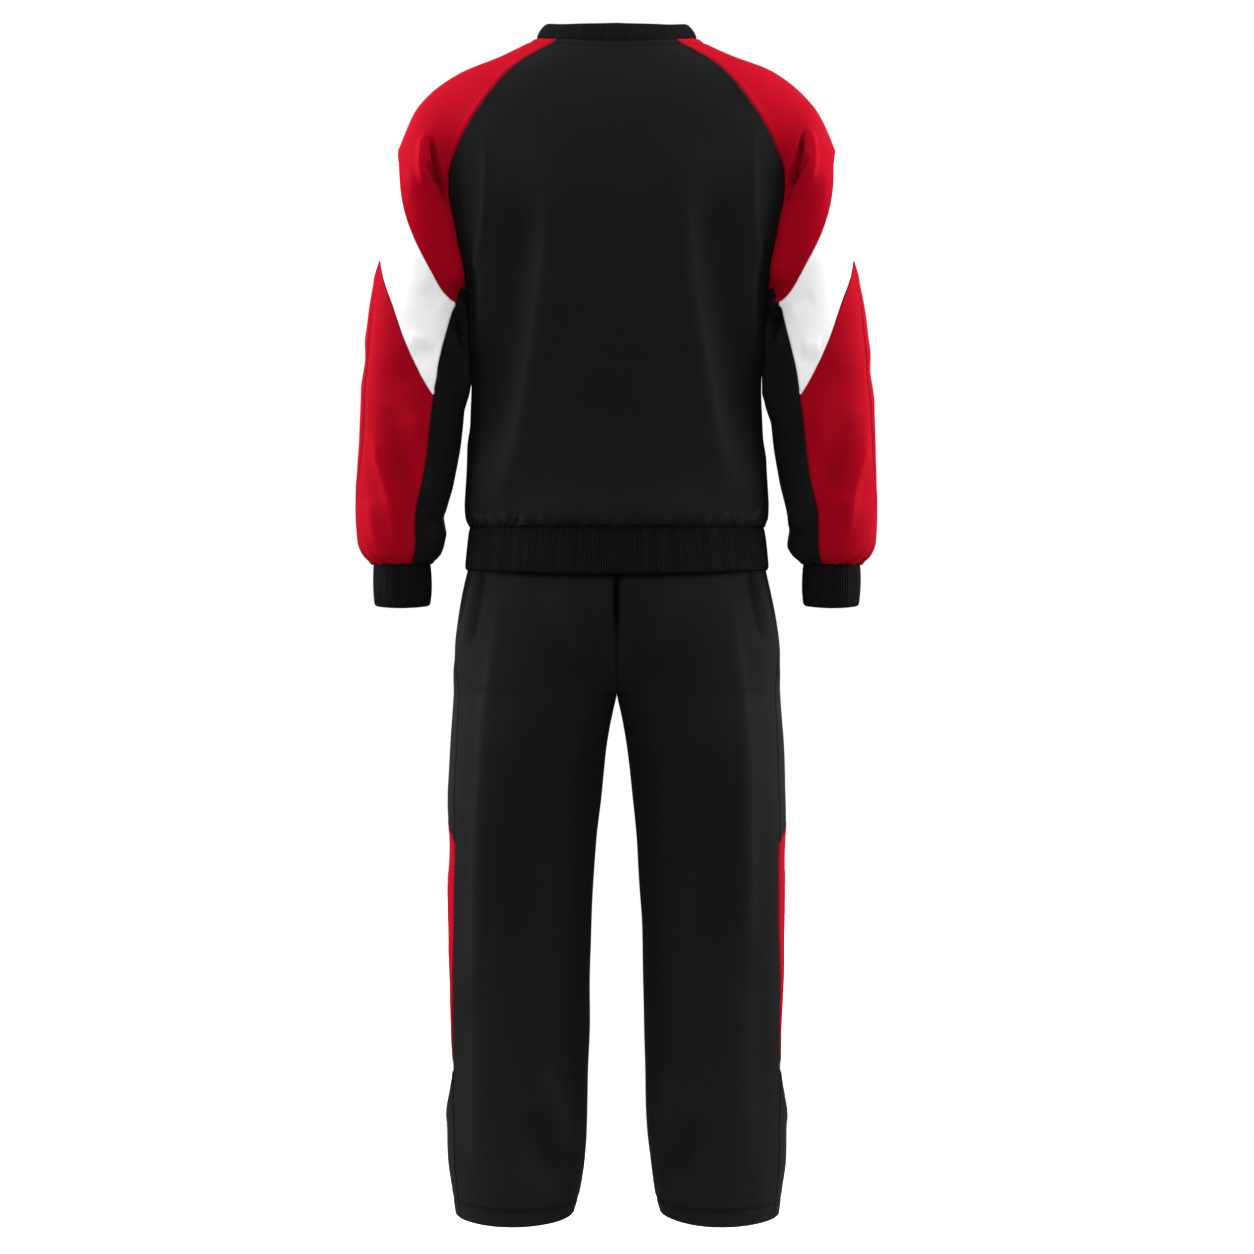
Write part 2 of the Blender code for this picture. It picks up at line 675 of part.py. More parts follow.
def make_under_panels():
    """Panel along the underside of each sleeve, in rows that meet those of the pieces beside it."""
    corner, low_corner = BAND_TOP["stage"][-1], BAND_LOW["stage"][-1]
    band = np.linspace(corner, low_corner, BAND_ROWS + 1)
    lower = low_corner + (2 - low_corner) * LOWER_STAGES
    stages = np.concatenate([[1.0], band, lower[1:]])
    across = np.linspace(-1, 1, UNDER_COLUMNS + 1)
    add_pair("sleeve_under", under_panel_skin, *grid(stages, across), "black", limits=(1, 2))


def leg_stage(level):
    """Stage of a leg ring at a level below the crotch."""
    stages = np.linspace(1, 2, 801)
    return np.interp(-level, -read(LEG, "out_z", stages), stages)


def side_panel_skin(stage, place):
    """Side panel of the left leg: place runs from -1 on the front seam to 1 on the back seam."""
    stage, place = np.broadcast_arrays(np.asarray(stage, float), np.asarray(place, float))
    return leg_skin(stage, place * read(SIDE_PANEL, "edge", stage))


def side_joins(place):
    """Stages of the three joins across a side panel, curved between its middle and its seams."""
    curve = np.abs(place) ** JOIN_CURVE
    return [leg_stage(m + (s - m) * curve) for m, s in zip(SIDE_JOINS["middle"], SIDE_JOINS["seam"])]


def side_rows(joins):
    """Rows of the four pieces of a side panel, as shares of the way between their joins."""
    first = joins[1]
    top = np.concatenate([np.linspace(0, 1, SEAT_ROWS + 1), np.linspace(1, first, THIGH_ROWS + 1)[1:]])
    return top / first, np.linspace(0, 1, 6), np.linspace(0, 1, 5), np.array(HEM_SHARES)


def make_legs():
    """Back and front of each leg, and the four pieces of the panel down its side."""
    place = np.array(PANEL_PLACES)
    joins = [np.zeros_like(place), *side_joins(place), np.full_like(place, 2.0)]
    seams = [float(join[-1]) for join in joins]
    shares = side_rows(seams)
    hem = leg_stage(TURNED_HEM_TOP)
    for i, (name, colour) in enumerate(SIDE_PIECES):
        stage = joins[i] + (joins[i + 1] - joins[i]) * shares[i][:, None]
        thick = np.where(stage > hem, TURNED_HEM, FLEECE)
        places = np.tile(place, (len(stage), 1))
        add_pair(f"leg_side_{name}", side_panel_skin, stage, places, colour, thickness=thick)
    stages = np.concatenate([seams[i] + (seams[i + 1] - seams[i]) * shares[i] for i in (0, 1, 3)])
    for name, side in (("back", BACK), ("front", FRONT)):
        stage, across = grid(stages, np.linspace(0, 1, LEG_COLUMNS + 1))
        seam_edge = read(SIDE_PANEL, "edge", stage)
        thick = np.where(stage > hem, TURNED_HEM, FLEECE)
        edge = (seam_edge + (1 - seam_edge) * across) * side
        add_pair(f"leg_{name}", leg_skin, stage, edge, "black", thickness=thick)


def cuff_ring(stage, turn):
    """Left cuff by a turn from 0 to 1 round it."""
    return cuff_skin(stage, 1 - 2 * (np.asarray(turn, float) % 1))


def make_bands():
    """Collar, hem band and cuffs in rib knit, and the trousers' waistband."""
    add_rib_band(add_wall, "collar", collar_skin, COLLAR_RIBS, [0.0, 0.55, 1.0])
    add_rib_band(add_wall, "hem_band", hem_band_skin, HEM_RIBS, [0.0, 1.0])
    add_rib_band(add_pair, "cuff", cuff_ring, CUFF_RIBS, [0.0, 1.0])
    stage, turn = grid([0.0, 1.0], np.arange(WAIST_COLUMNS) / WAIST_COLUMNS)
    add_wall("waistband", waistband_skin, stage, turn, "black", closed=True, limits=(0, 1))


for old in list(bpy.context.scene.objects):
    bpy.data.objects.remove(old, do_unlink=True)
SUIT = bpy.data.collections.new("tracksuit")
bpy.context.scene.collection.children.link(SUIT)
MATERIALS = {name: make_material(name) for name in COLOURS}

make_body()
make_sleeves()
make_under_panels()
make_legs()
make_bands()
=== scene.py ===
"""Looks of a raglan sweatshirt and straight trousers, worn form with no wearer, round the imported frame.

Every piece of cloth is a thin shell worked out with numpy on the same sections as its solid, with the
creases, gathers, seams, ribs and stitches that show. Metres, +Z up, the suit's back towards +Y.
"""
import math

import bpy
import numpy as np
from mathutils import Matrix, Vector


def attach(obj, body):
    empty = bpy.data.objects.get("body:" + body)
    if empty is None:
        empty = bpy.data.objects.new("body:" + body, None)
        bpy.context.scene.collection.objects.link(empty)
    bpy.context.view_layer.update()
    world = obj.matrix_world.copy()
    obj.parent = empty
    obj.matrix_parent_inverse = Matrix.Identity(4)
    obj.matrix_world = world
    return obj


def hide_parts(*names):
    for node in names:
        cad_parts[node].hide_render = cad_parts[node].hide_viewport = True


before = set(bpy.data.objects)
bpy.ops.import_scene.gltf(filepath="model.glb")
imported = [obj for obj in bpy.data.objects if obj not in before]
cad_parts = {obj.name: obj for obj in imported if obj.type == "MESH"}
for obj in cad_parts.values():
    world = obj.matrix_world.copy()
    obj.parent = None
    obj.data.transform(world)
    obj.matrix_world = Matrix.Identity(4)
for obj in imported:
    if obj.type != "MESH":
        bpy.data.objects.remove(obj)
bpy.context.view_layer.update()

MM = 0.001

FLEECE = 2.0 * MM
RIB_KNIT = 2.4 * MM
TURNED_HEM = 3.6 * MM
SEAM_GAP = 0.3 * MM
PLAIN_COLUMNS = ("stage", "round", "share", "turn", "edge")
BACK = 1
FRONT = -1


def table(columns, *rows):
    """One array for each named column. Lengths are given in millimetres and kept in metres."""
    names = columns.split()
    data = np.array(rows, float)
    return {name: data[:, i] * (1.0 if name in PLAIN_COLUMNS else MM) for i, name in enumerate(names)}


# Level sections of the torso, from the neck down to the seam of the hem band.
TORSO = table(
    "level half_width side_y back_y front_y",
    (0, 112, -2, 66, -60),
    (-26, 163, -2, 80, -73),
    (-52, 205, -2, 92, -84),
    (-85, 226, -1, 104, -94),
    (-120, 236, -1, 113, -103),
    (-173, 239, 0, 121, -113),
    (-221, 226, 0, 125, -118),
    (-260, 214, 0, 126, -120),
    (-290, 205, 0, 126, -121),
    (-325, 197, 0, 126, -122),
    (-390, 193, 0, 124, -121),
    (-442, 192, 0, 121, -119),
    (-494, 193.5, 0, 119, -117),
    (-546, 196, 0, 118, -115),
    (-598, 198, 0, 117, -114),
    (-620, 196, 0, 115, -112),
    (-632, 190, 0, 109, -106),
)

# Hem band below it, from its seam to its free edge.
HEM_BAND = table(
    "stage level half_width side_y back_y front_y",
    (0.0, -632.3, 190, 0, 109, -106),
    (0.5, -660, 192.5, 0, 112, -108),
    (1.0, -689, 196.2, 0, 115.7, -110.7),
)

# Sleeve sections. Stages 0 to 1 run along the raglan seam from the neck to the underarm, and
# stages 1 to 2 are rings from the underarm to the cuff seam.
SLEEVE = table(
    "stage in_x in_z out_x out_z mid_y back_y front_y round",
    (0.00, 75, -8, 103, 1, -2, 72, -72, 0.0),
    (0.20, 126, -40, 150, -21, -4, 74, -74, 0.0),
    (0.40, 166, -85, 206, -44, -5, 80, -80, 0.06),
    (0.60, 204, -149, 256, -87, -4, 82, -82, 0.35),
    (0.70, 215, -184, 276, -127, -3, 80, -80, 0.58),
    (0.80, 212, -231, 291, -172, -2, 76, -78, 0.78),
    (1.00, 197, -325, 312, -295, 0, 71, -73, 1.0),
    (1.15, 198.5, -375, 322.5, -355, 0, 68, -69, 1.0),
    (1.35, 198.5, -446, 330, -432, 0, 65, -65, 1.0),
    (1.55, 204, -518, 335.5, -510, -3, 58, -64, 1.0),
    (1.70, 213, -571, 337.5, -567, -8, 50, -66, 1.0),
    (1.84, 224.5, -622, 340, -620, -14, 43, -71, 1.0),
    (1.92, 225, -650, 338.5, -650, -16, 39, -71, 1.0),
    (1.97, 230, -667, 332, -667, -17, 33, -67, 1.0),
    (2.00, 244, -679.7, 317, -679.7, -18, 18, -54, 1.0),
)

UNDERARM = SLEEVE["in_z"][SLEEVE["stage"] == 1.0].item()

CUFF = table(
    "stage in_x in_z out_x out_z mid_y back_y front_y round",
    (0.0, 244, -680, 317, -680, -18, 18, -54, 1.0),
    (0.6, 243.5, -712, 316.5, -712, -19, 18, -56, 1.0),
    (1.0, 244.5, -735, 315.5, -735, -20, 16, -56, 1.0),
)

# Trouser sections for one leg. Stages 0 to 1 run down the seat seam to the crotch, and stages 1
# to 2 are rings from the crotch to the hem. Share says how far the seam point stands out from the
# middle towards the crest of its section.
LEG = table(
    "stage in_x in_z out_x out_z mid_y back_y front_y share round",
    (0.00, 0, -622, 168, -622, 0, 98, -94, 1.00, 0.0),
    (0.20, 0, -689, 193.7, -689, 0, 113.4, -108.4, 1.00, 0.03),
    (0.45, 0, -753, 204, -754, 0, 115.5, -108.5, 0.99, 0.18),
    (0.65, 0, -800, 208, -793, 0, 113.5, -106, 0.93, 0.40),
    (0.80, 0, -832, 209, -817, 0, 111, -103.5, 0.72, 0.64),
    (0.92, 0, -846, 209.6, -836, 0, 108.5, -101, 0.36, 0.86),
    (1.00, 0, -850, 210, -850, 0, 106.5, -99, 0.0, 1.0),
    (1.04, 5.5, -876, 210.8, -876, 0, 104.5, -97.5, 0.0, 1.0),
    (1.10, 11.7, -912, 212.2, -912, 0, 101, -95, 0.0, 1.0),
    (1.20, 20.5, -982, 215.5, -982, 0, 95.5, -91.5, 0.0, 1.0),
    (1.35, 29.5, -1080, 219.3, -1080, 0, 88.5, -87, 0.0, 1.0),
    (1.50, 34, -1183, 221.5, -1183, 0, 83, -82, 0.0, 1.0),
    (1.70, 37.5, -1326, 223, -1326, 0, 77, -77, 0.0, 1.0),
    (1.83, 39.6, -1417, 219.7, -1417, 0, 76, -76, 0.0, 1.0),
    (1.94, 49, -1495, 210.6, -1495, 0, 75, -75, 0.0, 1.0),
    (2.00, 57, -1524, 206.5, -1524, 0, 74, -74, 0.0, 1.0),
)

CROTCH_LEVEL = LEG["out_z"][LEG["stage"] == 1.0].item()

# Neckline around the collar seam, by the turn in degrees from the middle of the back, and the share
# of a panel over which it is pulled onto the neckline.
NECK_HALF_WIDTH = 103 * MM
NECK_MIDDLE_Y = -2 * MM
NECK_HALF_DEPTH = 73 * MM
NECK_SEAM_TURN = 46.7
NECKLINE = table(
    "turn level",
    (-40, -8), (0, -12), (40, -8), (90, 1), (133.3, -34), (158, -70), (180, -82), (202, -70),
)
COLLAR_HEIGHT = 24 * MM
COLLAR_LEAN = 9 * MM
NECK_REACH = 0.4

WAISTBAND_HEIGHT = 40 * MM
WAISTBAND_LEAN = 3 * MM
TURNED_HEM_TOP = -1498 * MM

# Seams on a sleeve. Edge runs from 0 on the outer line to 1 at the armhole or the inner line, and
# share from 0 on the outer seam to 1 on the seam of the under panel.
CORNER = 1.065
OUTER_SEAM = table(
    "stage edge",
    (0.0, 0.0), (0.5, 0.02), (0.74, 0.05), (1.0, 0.13), (1.4, 0.12), (2.0, 0.10),
)
UNDER_SEAM = table(
    "stage edge",
    (1.0, 0.87), (CORNER, 0.82), (1.41, 0.66), (2.0, 0.63),
)
BAND_TOP = table(
    "share stage",
    (0.0, 0.743), (0.22, 0.78), (0.42, 0.88), (0.62, 0.957), (0.85, 1.035), (1.0, CORNER),
)
BAND_LOW = table(
    "share stage",
    (0.0, 0.98), (0.3, 1.103), (0.55, 1.23), (0.85, 1.357), (1.0, 1.41),
)

# Side panel of a leg: half its share of the ring, and its three joins as level at the middle of
# the panel and level at its seams.
SIDE_PANEL = table(
    "stage edge",
    (0.0, 0.185), (0.45, 0.16), (1.0, 0.128), (1.35, 0.138), (1.7, 0.155), (2.0, 0.155),
)
SIDE_JOINS = table(
    "middle seam",
    (-1017, -1041), (-1085, -1325), (-1398, -1331),
)
JOIN_CURVE = 2.2

# Roundness of a level section, and how far a handle stands out to carry a curve to half a round.
FULLNESS = 0.6
HALF_ROUND = 4 / 3

# A sleeve leaves the raglan seam along the slope that the body has there, read over a short step.
SLOPE_STEP = 2 * MM
STEEPEST_FALL = 0.6

# Steps of the parameters over which a skin's slopes are read.
PROBE = 0.004

# Long soft folds down the back and the front: top point, foot point, half-width and rise.
BODY_FOLDS = table(
    "top_x top_z foot_x foot_z spread rise",
    (92, -190, 150, -590, 34, 6),
    (-94, -180, -144, -590, 34, 6),
    (178, -200, 174, -340, 16, 4),
    (-180, -200, -176, -340, 16, 4),
)

# Soft creases on a sleeve: their place round it and along it, their spread and rise, on a sleeve
# whose stages are about one length apart and whose half girth is about one width.
STAGE_LENGTH = 420 * MM
EDGE_WIDTH = 160 * MM
SLEEVE_FOLDS = table(
    "edge stage spread rise",
    (0.62, 0.72, 30, 7),
    (0.45, 1.36, 22, -4),
    (0.60, 1.50, 20, 4),
    (0.40, 1.80, 20, 4),
)

def follow(knots, values, at):
    """Smooth curve through a table's points. Its slopes are limited, so it never swings past them."""
    step = np.diff(knots)
    rise = np.diff(values) / step
    slope = np.zeros(len(knots))
    slope[0], slope[-1] = rise[0], rise[-1]
    for i in range(1, len(knots) - 1):
        if rise[i - 1] * rise[i] > 0:
            before, after = step[i] * 2 + step[i - 1], step[i] + step[i - 1] * 2
            slope[i] = (before + after) / (before / rise[i - 1] + after / rise[i])
    i = np.clip(np.searchsorted(knots, at, side="right") - 1, 0, len(step) - 1)
    t = np.clip((at - knots[i]) / step[i], 0, 1)
    start = values[i] * (1 + 2 * t) * (1 - t) ** 2 + slope[i] * step[i] * t * (1 - t) ** 2
    return start + values[i + 1] * t**2 * (3 - 2 * t) - slope[i + 1] * step[i] * t**2 * (1 - t)


def read(rows, column, at, along="stage"):
    """A table's column at any place along it."""
    knots, values = rows[along], rows[column]
    if knots[0] > knots[-1]:
        knots, values = knots[::-1], values[::-1]
    return follow(knots, values, np.asarray(at, float))


def ease(t):
    """Soft step from 0 to 1."""
    t = np.clip(t, 0, 1)
    return t * t * (3 - 2 * t)


def stack(x, y, z):
    """Points from their three coordinates."""
    return np.stack(np.broadcast_arrays(x, y, z), axis=-1)


def pair(first, second):
    """Two parameters as arrays of numbers of one shape."""
    return np.broadcast_arrays(np.asarray(first, float), np.asarray(second, float))


def quarter(t):
    """Share of the half-width reached at t along a quarter section, 0 in the middle and 1 at the side."""
    return 3 * (1 - t) ** 2 * t * FULLNESS + 3 * (1 - t) * t**2 + t**3


def quarter_turn(share):
    """The t at which a quarter section reaches a share of its half-width."""
    t = np.linspace(0, 1, 2001)
    return np.interp(share, quarter(t), t)


def level_section(rows, side, place, t, along="level"):
    """Point of a level section: t runs from the middle of the back or front to the side."""
    half = read(rows, "half_width", place, along)
    side_y = read(rows, "side_y", place, along)
    crest = read(rows, "back_y" if side == BACK else "front_y", place, along)
    level = read(rows, "level", place, along) if along != "level" else place
    return stack(half * quarter(t), side_y + (crest - side_y) * quarter(1 - t), level)


def neckline(turn):
    """Collar seam at a turn in degrees: 0 at the middle of the back, 180 at the middle of the front."""
    angle = np.radians(turn)
    folded = np.abs((np.asarray(turn) + 180) % 360 - 180)
    x = NECK_HALF_WIDTH * np.sin(angle)
    y = NECK_MIDDLE_Y + NECK_HALF_DEPTH * np.cos(angle)
    return stack(x, y, read(NECKLINE, "level", folded, "turn"))


def body_neck_turn(side, across):
    """Turn of the neckline at a place across the back or front panel."""
    turn = np.abs(across) * NECK_SEAM_TURN
    return turn if side == BACK else 180 - turn


def raglan_level(side, stage, across=1.0):
    """Level of the raglan seam, and of the panel's rows that end on it."""
    back_seam = read(SLEEVE, "in_z", stage)
    top = read(NECKLINE, "level", body_neck_turn(side, across), "turn")
    return UNDERARM + (back_seam - UNDERARM) * (top - UNDERARM) / (SLEEVE["in_z"][0] - UNDERARM)


def body_folds(side, point):
    """Soft folds that run down the panel, as a push away from the middle of the body."""
    x, z = point[..., 0], point[..., 2]
    push = np.zeros_like(x)
    for top_x, top_z, foot_x, foot_z, spread, rise in zip(*BODY_FOLDS.values()):
        run = np.clip((top_z - z) / (top_z - foot_z), 0, 1)
        centre = top_x + (foot_x - top_x) * run**1.3
        fade = ease((top_z + 0.06 - z) / 0.12) * ease((z - foot_z + 0.03) / 0.05)
        push += rise * fade * np.exp(-(((x - centre) / spread) ** 2))
    return push * side


def body_skin(side, rise, across):
    """Outer skin of the back or front panel.

    Rise runs from 0 at the hem band to 1 at the underarm and 2 at the neckline; across runs from
    -1 to 1 between the side seams or the raglan seams.
    """
    rise, across = pair(rise, across)
    reach = np.abs(across)
    stage = np.clip(2 - rise, 0, 1)
    hem = TORSO["level"][-1]
    below = hem + (UNDERARM - hem) * rise

    def plain(stage, level):
        seam_level = raglan_level(side, stage)
        half = read(TORSO, "half_width", seam_level, "level")
        seam_turn = quarter_turn(np.clip(read(SLEEVE, "in_x", stage) / half, 0, 1))
        return level_section(TORSO, side, level, reach * np.where(stage < 1, seam_turn, 1.0))

    point = plain(stage, np.where(rise < 1, below, raglan_level(side, stage, across)))
    at_neck = plain(np.zeros_like(stage), raglan_level(side, np.zeros_like(stage), across))
    pull = ease((rise - 2 + NECK_REACH) / NECK_REACH)[..., None]
    point = point + pull * (neckline(body_neck_turn(side, across)) - at_neck)
    point[..., 0] *= np.sign(across) + (across == 0)
    point[..., 1] += body_folds(side, point) * ease((1 - reach) / 0.12)
    return point


def sweep(start, end, crest_y, fall, roundness, t):
    """Curve across half a tube from its inner to its outer line.

    At roundness 0 it is a quarter section that leaves the start along the neighbour's slope, and
    at 1 it is half a ring that stands out to crest_y. All y values point away from the middle.
    """
    reach = end - start
    reach[..., 1] = 0
    flat = (1 - roundness) * FULLNESS
    out_start = reach * flat[..., None]
    lift = 1 - (1 - roundness) ** 3
    out_start[..., 1] = lift * HALF_ROUND * (crest_y - start[..., 1]) - flat * fall
    out_end = np.zeros_like(reach)
    out_end[..., 1] = roundness * HALF_ROUND * (crest_y - end[..., 1])
    out_end[..., 1] += flat * (start[..., 1] - fall - end[..., 1])
    t = t[..., None]
    near = start * (1 - t) ** 3 + (start + out_start) * 3 * (1 - t) ** 2 * t
    return near + (end + out_end) * 3 * (1 - t) * t**2 + end * t**3


def tube_side(rows, side, stage, edge, start=None, fall=0.0):
    """Half of a tube's skin on the back or the front, with y turned to point away from the middle."""
    flip = np.array([1, side, 1])
    middle = read(rows, "mid_y", stage)
    crest = read(rows, "back_y" if side == BACK else "front_y", stage)
    if start is None:
        share = read(rows, "share", stage) if "share" in rows else 0.0
        start_y = middle + share * (crest - middle)
        start = stack(read(rows, "in_x", stage), start_y, read(rows, "in_z", stage))
    end = stack(read(rows, "out_x", stage), middle, read(rows, "out_z", stage))
    bend = read(rows, "round", stage)
    return sweep(start * flip, end * flip, crest * side, fall, bend, 1 - np.abs(edge)) * flip


def torso_depth(side, point):
    """How far the torso's section stands out from the middle, at a point's place across and level."""
    half = read(TORSO, "half_width", point[..., 2], "level")
    turn = quarter_turn(np.clip(point[..., 0] / half, 0, 0.999))
    return level_section(TORSO, side, point[..., 2], turn)[..., 1] * side


def sleeve_half(side, stage, edge):
    """Back or front half of the left sleeve's skin. Edge is 0 on the outer seam and 1 inside."""
    cap = np.clip(stage, 0, 1)
    seam = body_skin(side, 2 - cap, np.ones_like(cap))
    ring = stack(read(SLEEVE, "in_x", stage), read(SLEEVE, "mid_y", stage), read(SLEEVE, "in_z", stage))
    start = np.where((stage < 1)[..., None], seam, ring)
    end = stack(read(SLEEVE, "out_x", stage), read(SLEEVE, "mid_y", stage), read(SLEEVE, "out_z", stage))
    span = np.hypot(end[..., 0] - start[..., 0], end[..., 2] - start[..., 2])
    step = start + (end - start) * (SLOPE_STEP / span)[..., None]
    drop = (torso_depth(side, start) - torso_depth(side, step)) / SLOPE_STEP * span
    fall = np.clip(drop, 0, STEEPEST_FALL * np.abs(start[..., 1] - end[..., 1]))
    return tube_side(SLEEVE, side, stage, edge, start, fall)


def sleeve_folds(stage, edge, point):
    """Soft creases across the sleeve at the back of the armpit, the elbow and above the cuff."""
    push = np.zeros_like(stage)
    for place, height, spread, rise in zip(*SLEEVE_FOLDS.values()):
        along, round_it = (stage - height) * STAGE_LENGTH, (np.abs(edge) - place) * EDGE_WIDTH
        push += rise * np.exp(-(along**2 + round_it**2) / spread**2)
    away = np.sign(point[..., 1] - read(SLEEVE, "mid_y", stage))
    return push * away * ease((1 - np.abs(edge)) / 0.15) * ease(np.abs(edge) / 0.15)


def sleeve_skin(stage, edge):
    """Outer skin of the left sleeve, from the neck to the cuff seam."""
    stage, edge = pair(stage, edge)
    halves = {}
    for side in (BACK, FRONT):
        point = sleeve_half(side, stage, edge)
        at_neck = sleeve_half(side, np.zeros_like(stage), edge)
        turn = 90 - side * np.abs(edge) * (90 - NECK_SEAM_TURN)
        pull = (1 - ease(stage / NECK_REACH))[..., None]
        halves[side] = point + pull * (neckline(turn) - at_neck)
    point = np.where((edge >= 0)[..., None], halves[BACK], halves[FRONT])
    point[..., 1] += sleeve_folds(stage, edge, point)
    return point


def tube_skin(rows, stage, edge):
    """Outer skin of the left cuff band, or of the left leg from the waistband to the hem."""
    stage, edge = pair(stage, edge)
    back, front = (tube_side(rows, side, stage, edge) for side in (BACK, FRONT))
    return np.where((edge >= 0)[..., None], back, front)


def leg_skin(stage, edge):
    """Outer skin of the left leg."""
    return tube_skin(LEG, stage, edge)


def around(turn):
    """Place across, and whether on the back, for a turn from 0 to 1 round from the right side seam."""
    turn = np.asarray(turn, float) % 1
    return np.where(turn < 0.5, 4 * turn - 1, 3 - 4 * turn), turn < 0.5


def band_ring(rows, stage, turn):
    """Outer skin of a level band round the body."""
    across, on_back = around(turn)
    back, front = (level_section(rows, side, stage, np.abs(across), "stage") for side in (BACK, FRONT))
    point = np.where(on_back[..., None], back, front)
    point[..., 0] *= np.sign(across)
    return point


def hem_band_skin(stage, turn):
    """Outer skin of the hem band."""
    stage, turn = pair(stage, turn)
    return band_ring(HEM_BAND, stage, turn)


def waistband_skin(stage, turn):
    """Waistband: the top of the trousers carried on upwards and drawn in a little."""
    stage, turn = pair(stage, turn)
    across, on_back = around(turn)
    edge = (1 - np.abs(across)) * np.where(on_back, 1, -1)
    point = leg_skin(np.zeros_like(turn), edge)
    point[..., 0] *= np.sign(across)
    inward = point * [1, 1, 0] / np.linalg.norm(point[..., :2], axis=-1)[..., None]
    rise = SEAM_GAP + WAISTBAND_HEIGHT * stage
    return point + stack(0, 0, rise) - inward * (WAISTBAND_LEAN * stage)[..., None]


def collar_skin(stage, turn):
    """Collar band: it rises from the neckline and leans in towards the neck."""
    stage, turn = pair(stage, turn)
    base = neckline(turn * 360)
    centre = np.array([0, NECK_MIDDLE_Y, 0])
    inward = (centre - base) * [1, 1, 0]
    inward /= np.linalg.norm(inward, axis=-1)[..., None]
    lean = inward * (COLLAR_LEAN * stage**1.5)[..., None]
    return base + lean + stack(0, 0, SEAM_GAP + COLLAR_HEIGHT * stage)


def outward(skin, first, second, limits):
    """Unit normals of a skin, from its slopes both ways, turned to the side that it bulges to."""
    low, high = limits
    ahead = skin(np.minimum(first + PROBE, high), second)
    behind = skin(np.maximum(first - PROBE, low), second)
    slope = skin(first, second + PROBE) - skin(first, second - PROBE)
    normal = np.cross(ahead - behind, slope)
    normal /= np.linalg.norm(normal, axis=-1)[..., None]
    centre = (ahead + behind).reshape(-1, 3).mean(axis=0) / 2
    return normal * np.sign(np.sum((ahead - centre) * normal))


def let_out(edge, inner, normal, closed):
    """A small step square to an edge of the cloth, away from its inside, so that sewn pieces meet."""
    along = np.roll(edge, -1, axis=0) - np.roll(edge, 1, axis=0) if closed else np.gradient(edge, axis=0)
    across = np.cross(normal, along)
    across /= np.linalg.norm(across, axis=-1)[..., None]
    towards = np.sign(np.sum(across * (inner - edge), axis=-1))
    return across * towards[..., None] * -SEAM_LAP


def lapped(points, normal, closed):
    """Let the edges of a grid of points out a little, so that no light passes through a seam."""
    out = points.copy()
    for edge, inner in ((0, 1), (-1, -2)):
        out[edge] += let_out(points[edge], points[inner], normal[edge], closed)
        if not closed:
            out[:, edge] += let_out(points[:, edge], points[:, inner], normal[:, edge], False)
    return out


def grid(first, second):
    """Two grids of parameters, the first down the rows and the second along them."""
    return [np.asarray(a, float) for a in np.meshgrid(first, second, indexing="ij")]


def even_turns(skin, count):
    """Turns that share a closed band's length out evenly."""
    fine = np.linspace(0, 1, 1441)
    ring = skin(np.zeros_like(fine), fine)
    length = np.concatenate([[0], np.cumsum(np.linalg.norm(np.diff(ring, axis=0), axis=1))])
    return np.interp(np.arange(count) / count * length[-1], length, fine)


def across_sleeve(side, stage, share):
    """Edge on the sleeve at a share of the way from the outer seam to the seam of the under panel."""
    outer = read(OUTER_SEAM, "edge", stage)
    return outer + share * (side * read(UNDER_SEAM, "edge", np.maximum(stage, CORNER)) - outer)


def under_panel_skin(stage, place):
    """Under panel of the left sleeve: place runs from -1 on the front seam to 1 on the back seam."""
    stage, place = pair(stage, place)
    edge = 1 - (1 - read(UNDER_SEAM, "edge", stage)) * np.abs(place)
    return sleeve_skin(stage, np.where(place >= 0, edge, -edge))


def leg_stage(level):
    """Stage of a leg's section at a level of its outer line."""
    stages = np.linspace(0, 2, 1601)
    return np.interp(-level, -read(LEG, "out_z", stages), stages)


def side_panel_skin(stage, place):
    """Side panel of the left leg: place runs from -1 on the front seam to 1 on the back seam."""
    stage, place = pair(stage, place)
    return leg_skin(stage, place * read(SIDE_PANEL, "edge", stage))


def side_joins(place):
    """Levels of the three joins across a side panel, curved between its middle and its seams."""
    curve = np.abs(place) ** JOIN_CURVE
    return [m + (s - m) * curve for m, s in zip(SIDE_JOINS["middle"], SIDE_JOINS["seam"])]


def hem_thickness(level):
    """Cloth is doubled below the top of the turned hem."""
    return FLEECE + (TURNED_HEM - FLEECE) * ease((TURNED_HEM_TOP - level) / (2 * MM))


def cuff_ring(stage, turn):
    """Left cuff by a turn from 0 to 1 round it."""
    return tube_skin(CUFF, stage, 1 - 2 * (np.asarray(turn, float) % 1))


# Fine shells: spacing of their points, extra rows close to each edge, how thinly the inside is cut,
# and the angle in degrees from which an edge shades as sharp.
SPACING = 3.6 * MM
BODY_SPACING = 3.1 * MM
FINE_SPACING = 2.1 * MM
EDGE_STEPS = np.array([0.7, 1.5, 2.6, 4.2]) * MM
INSIDE_EVERY = 4
SHARP_ANGLE = 55

# A seam: groove between the pieces, and the turned allowance that lifts the cloth beside it.
SEAM_DEPTH = 0.8 * MM
SEAM_WIDTH = 1.7 * MM
ALLOWANCE_RISE = 0.45 * MM
ALLOWANCE_REACH = 8 * MM
STITCH_PITCH = 2.8 * MM
THREAD_RADIUS = 0.32 * MM
THREAD_LIFT = 0.05

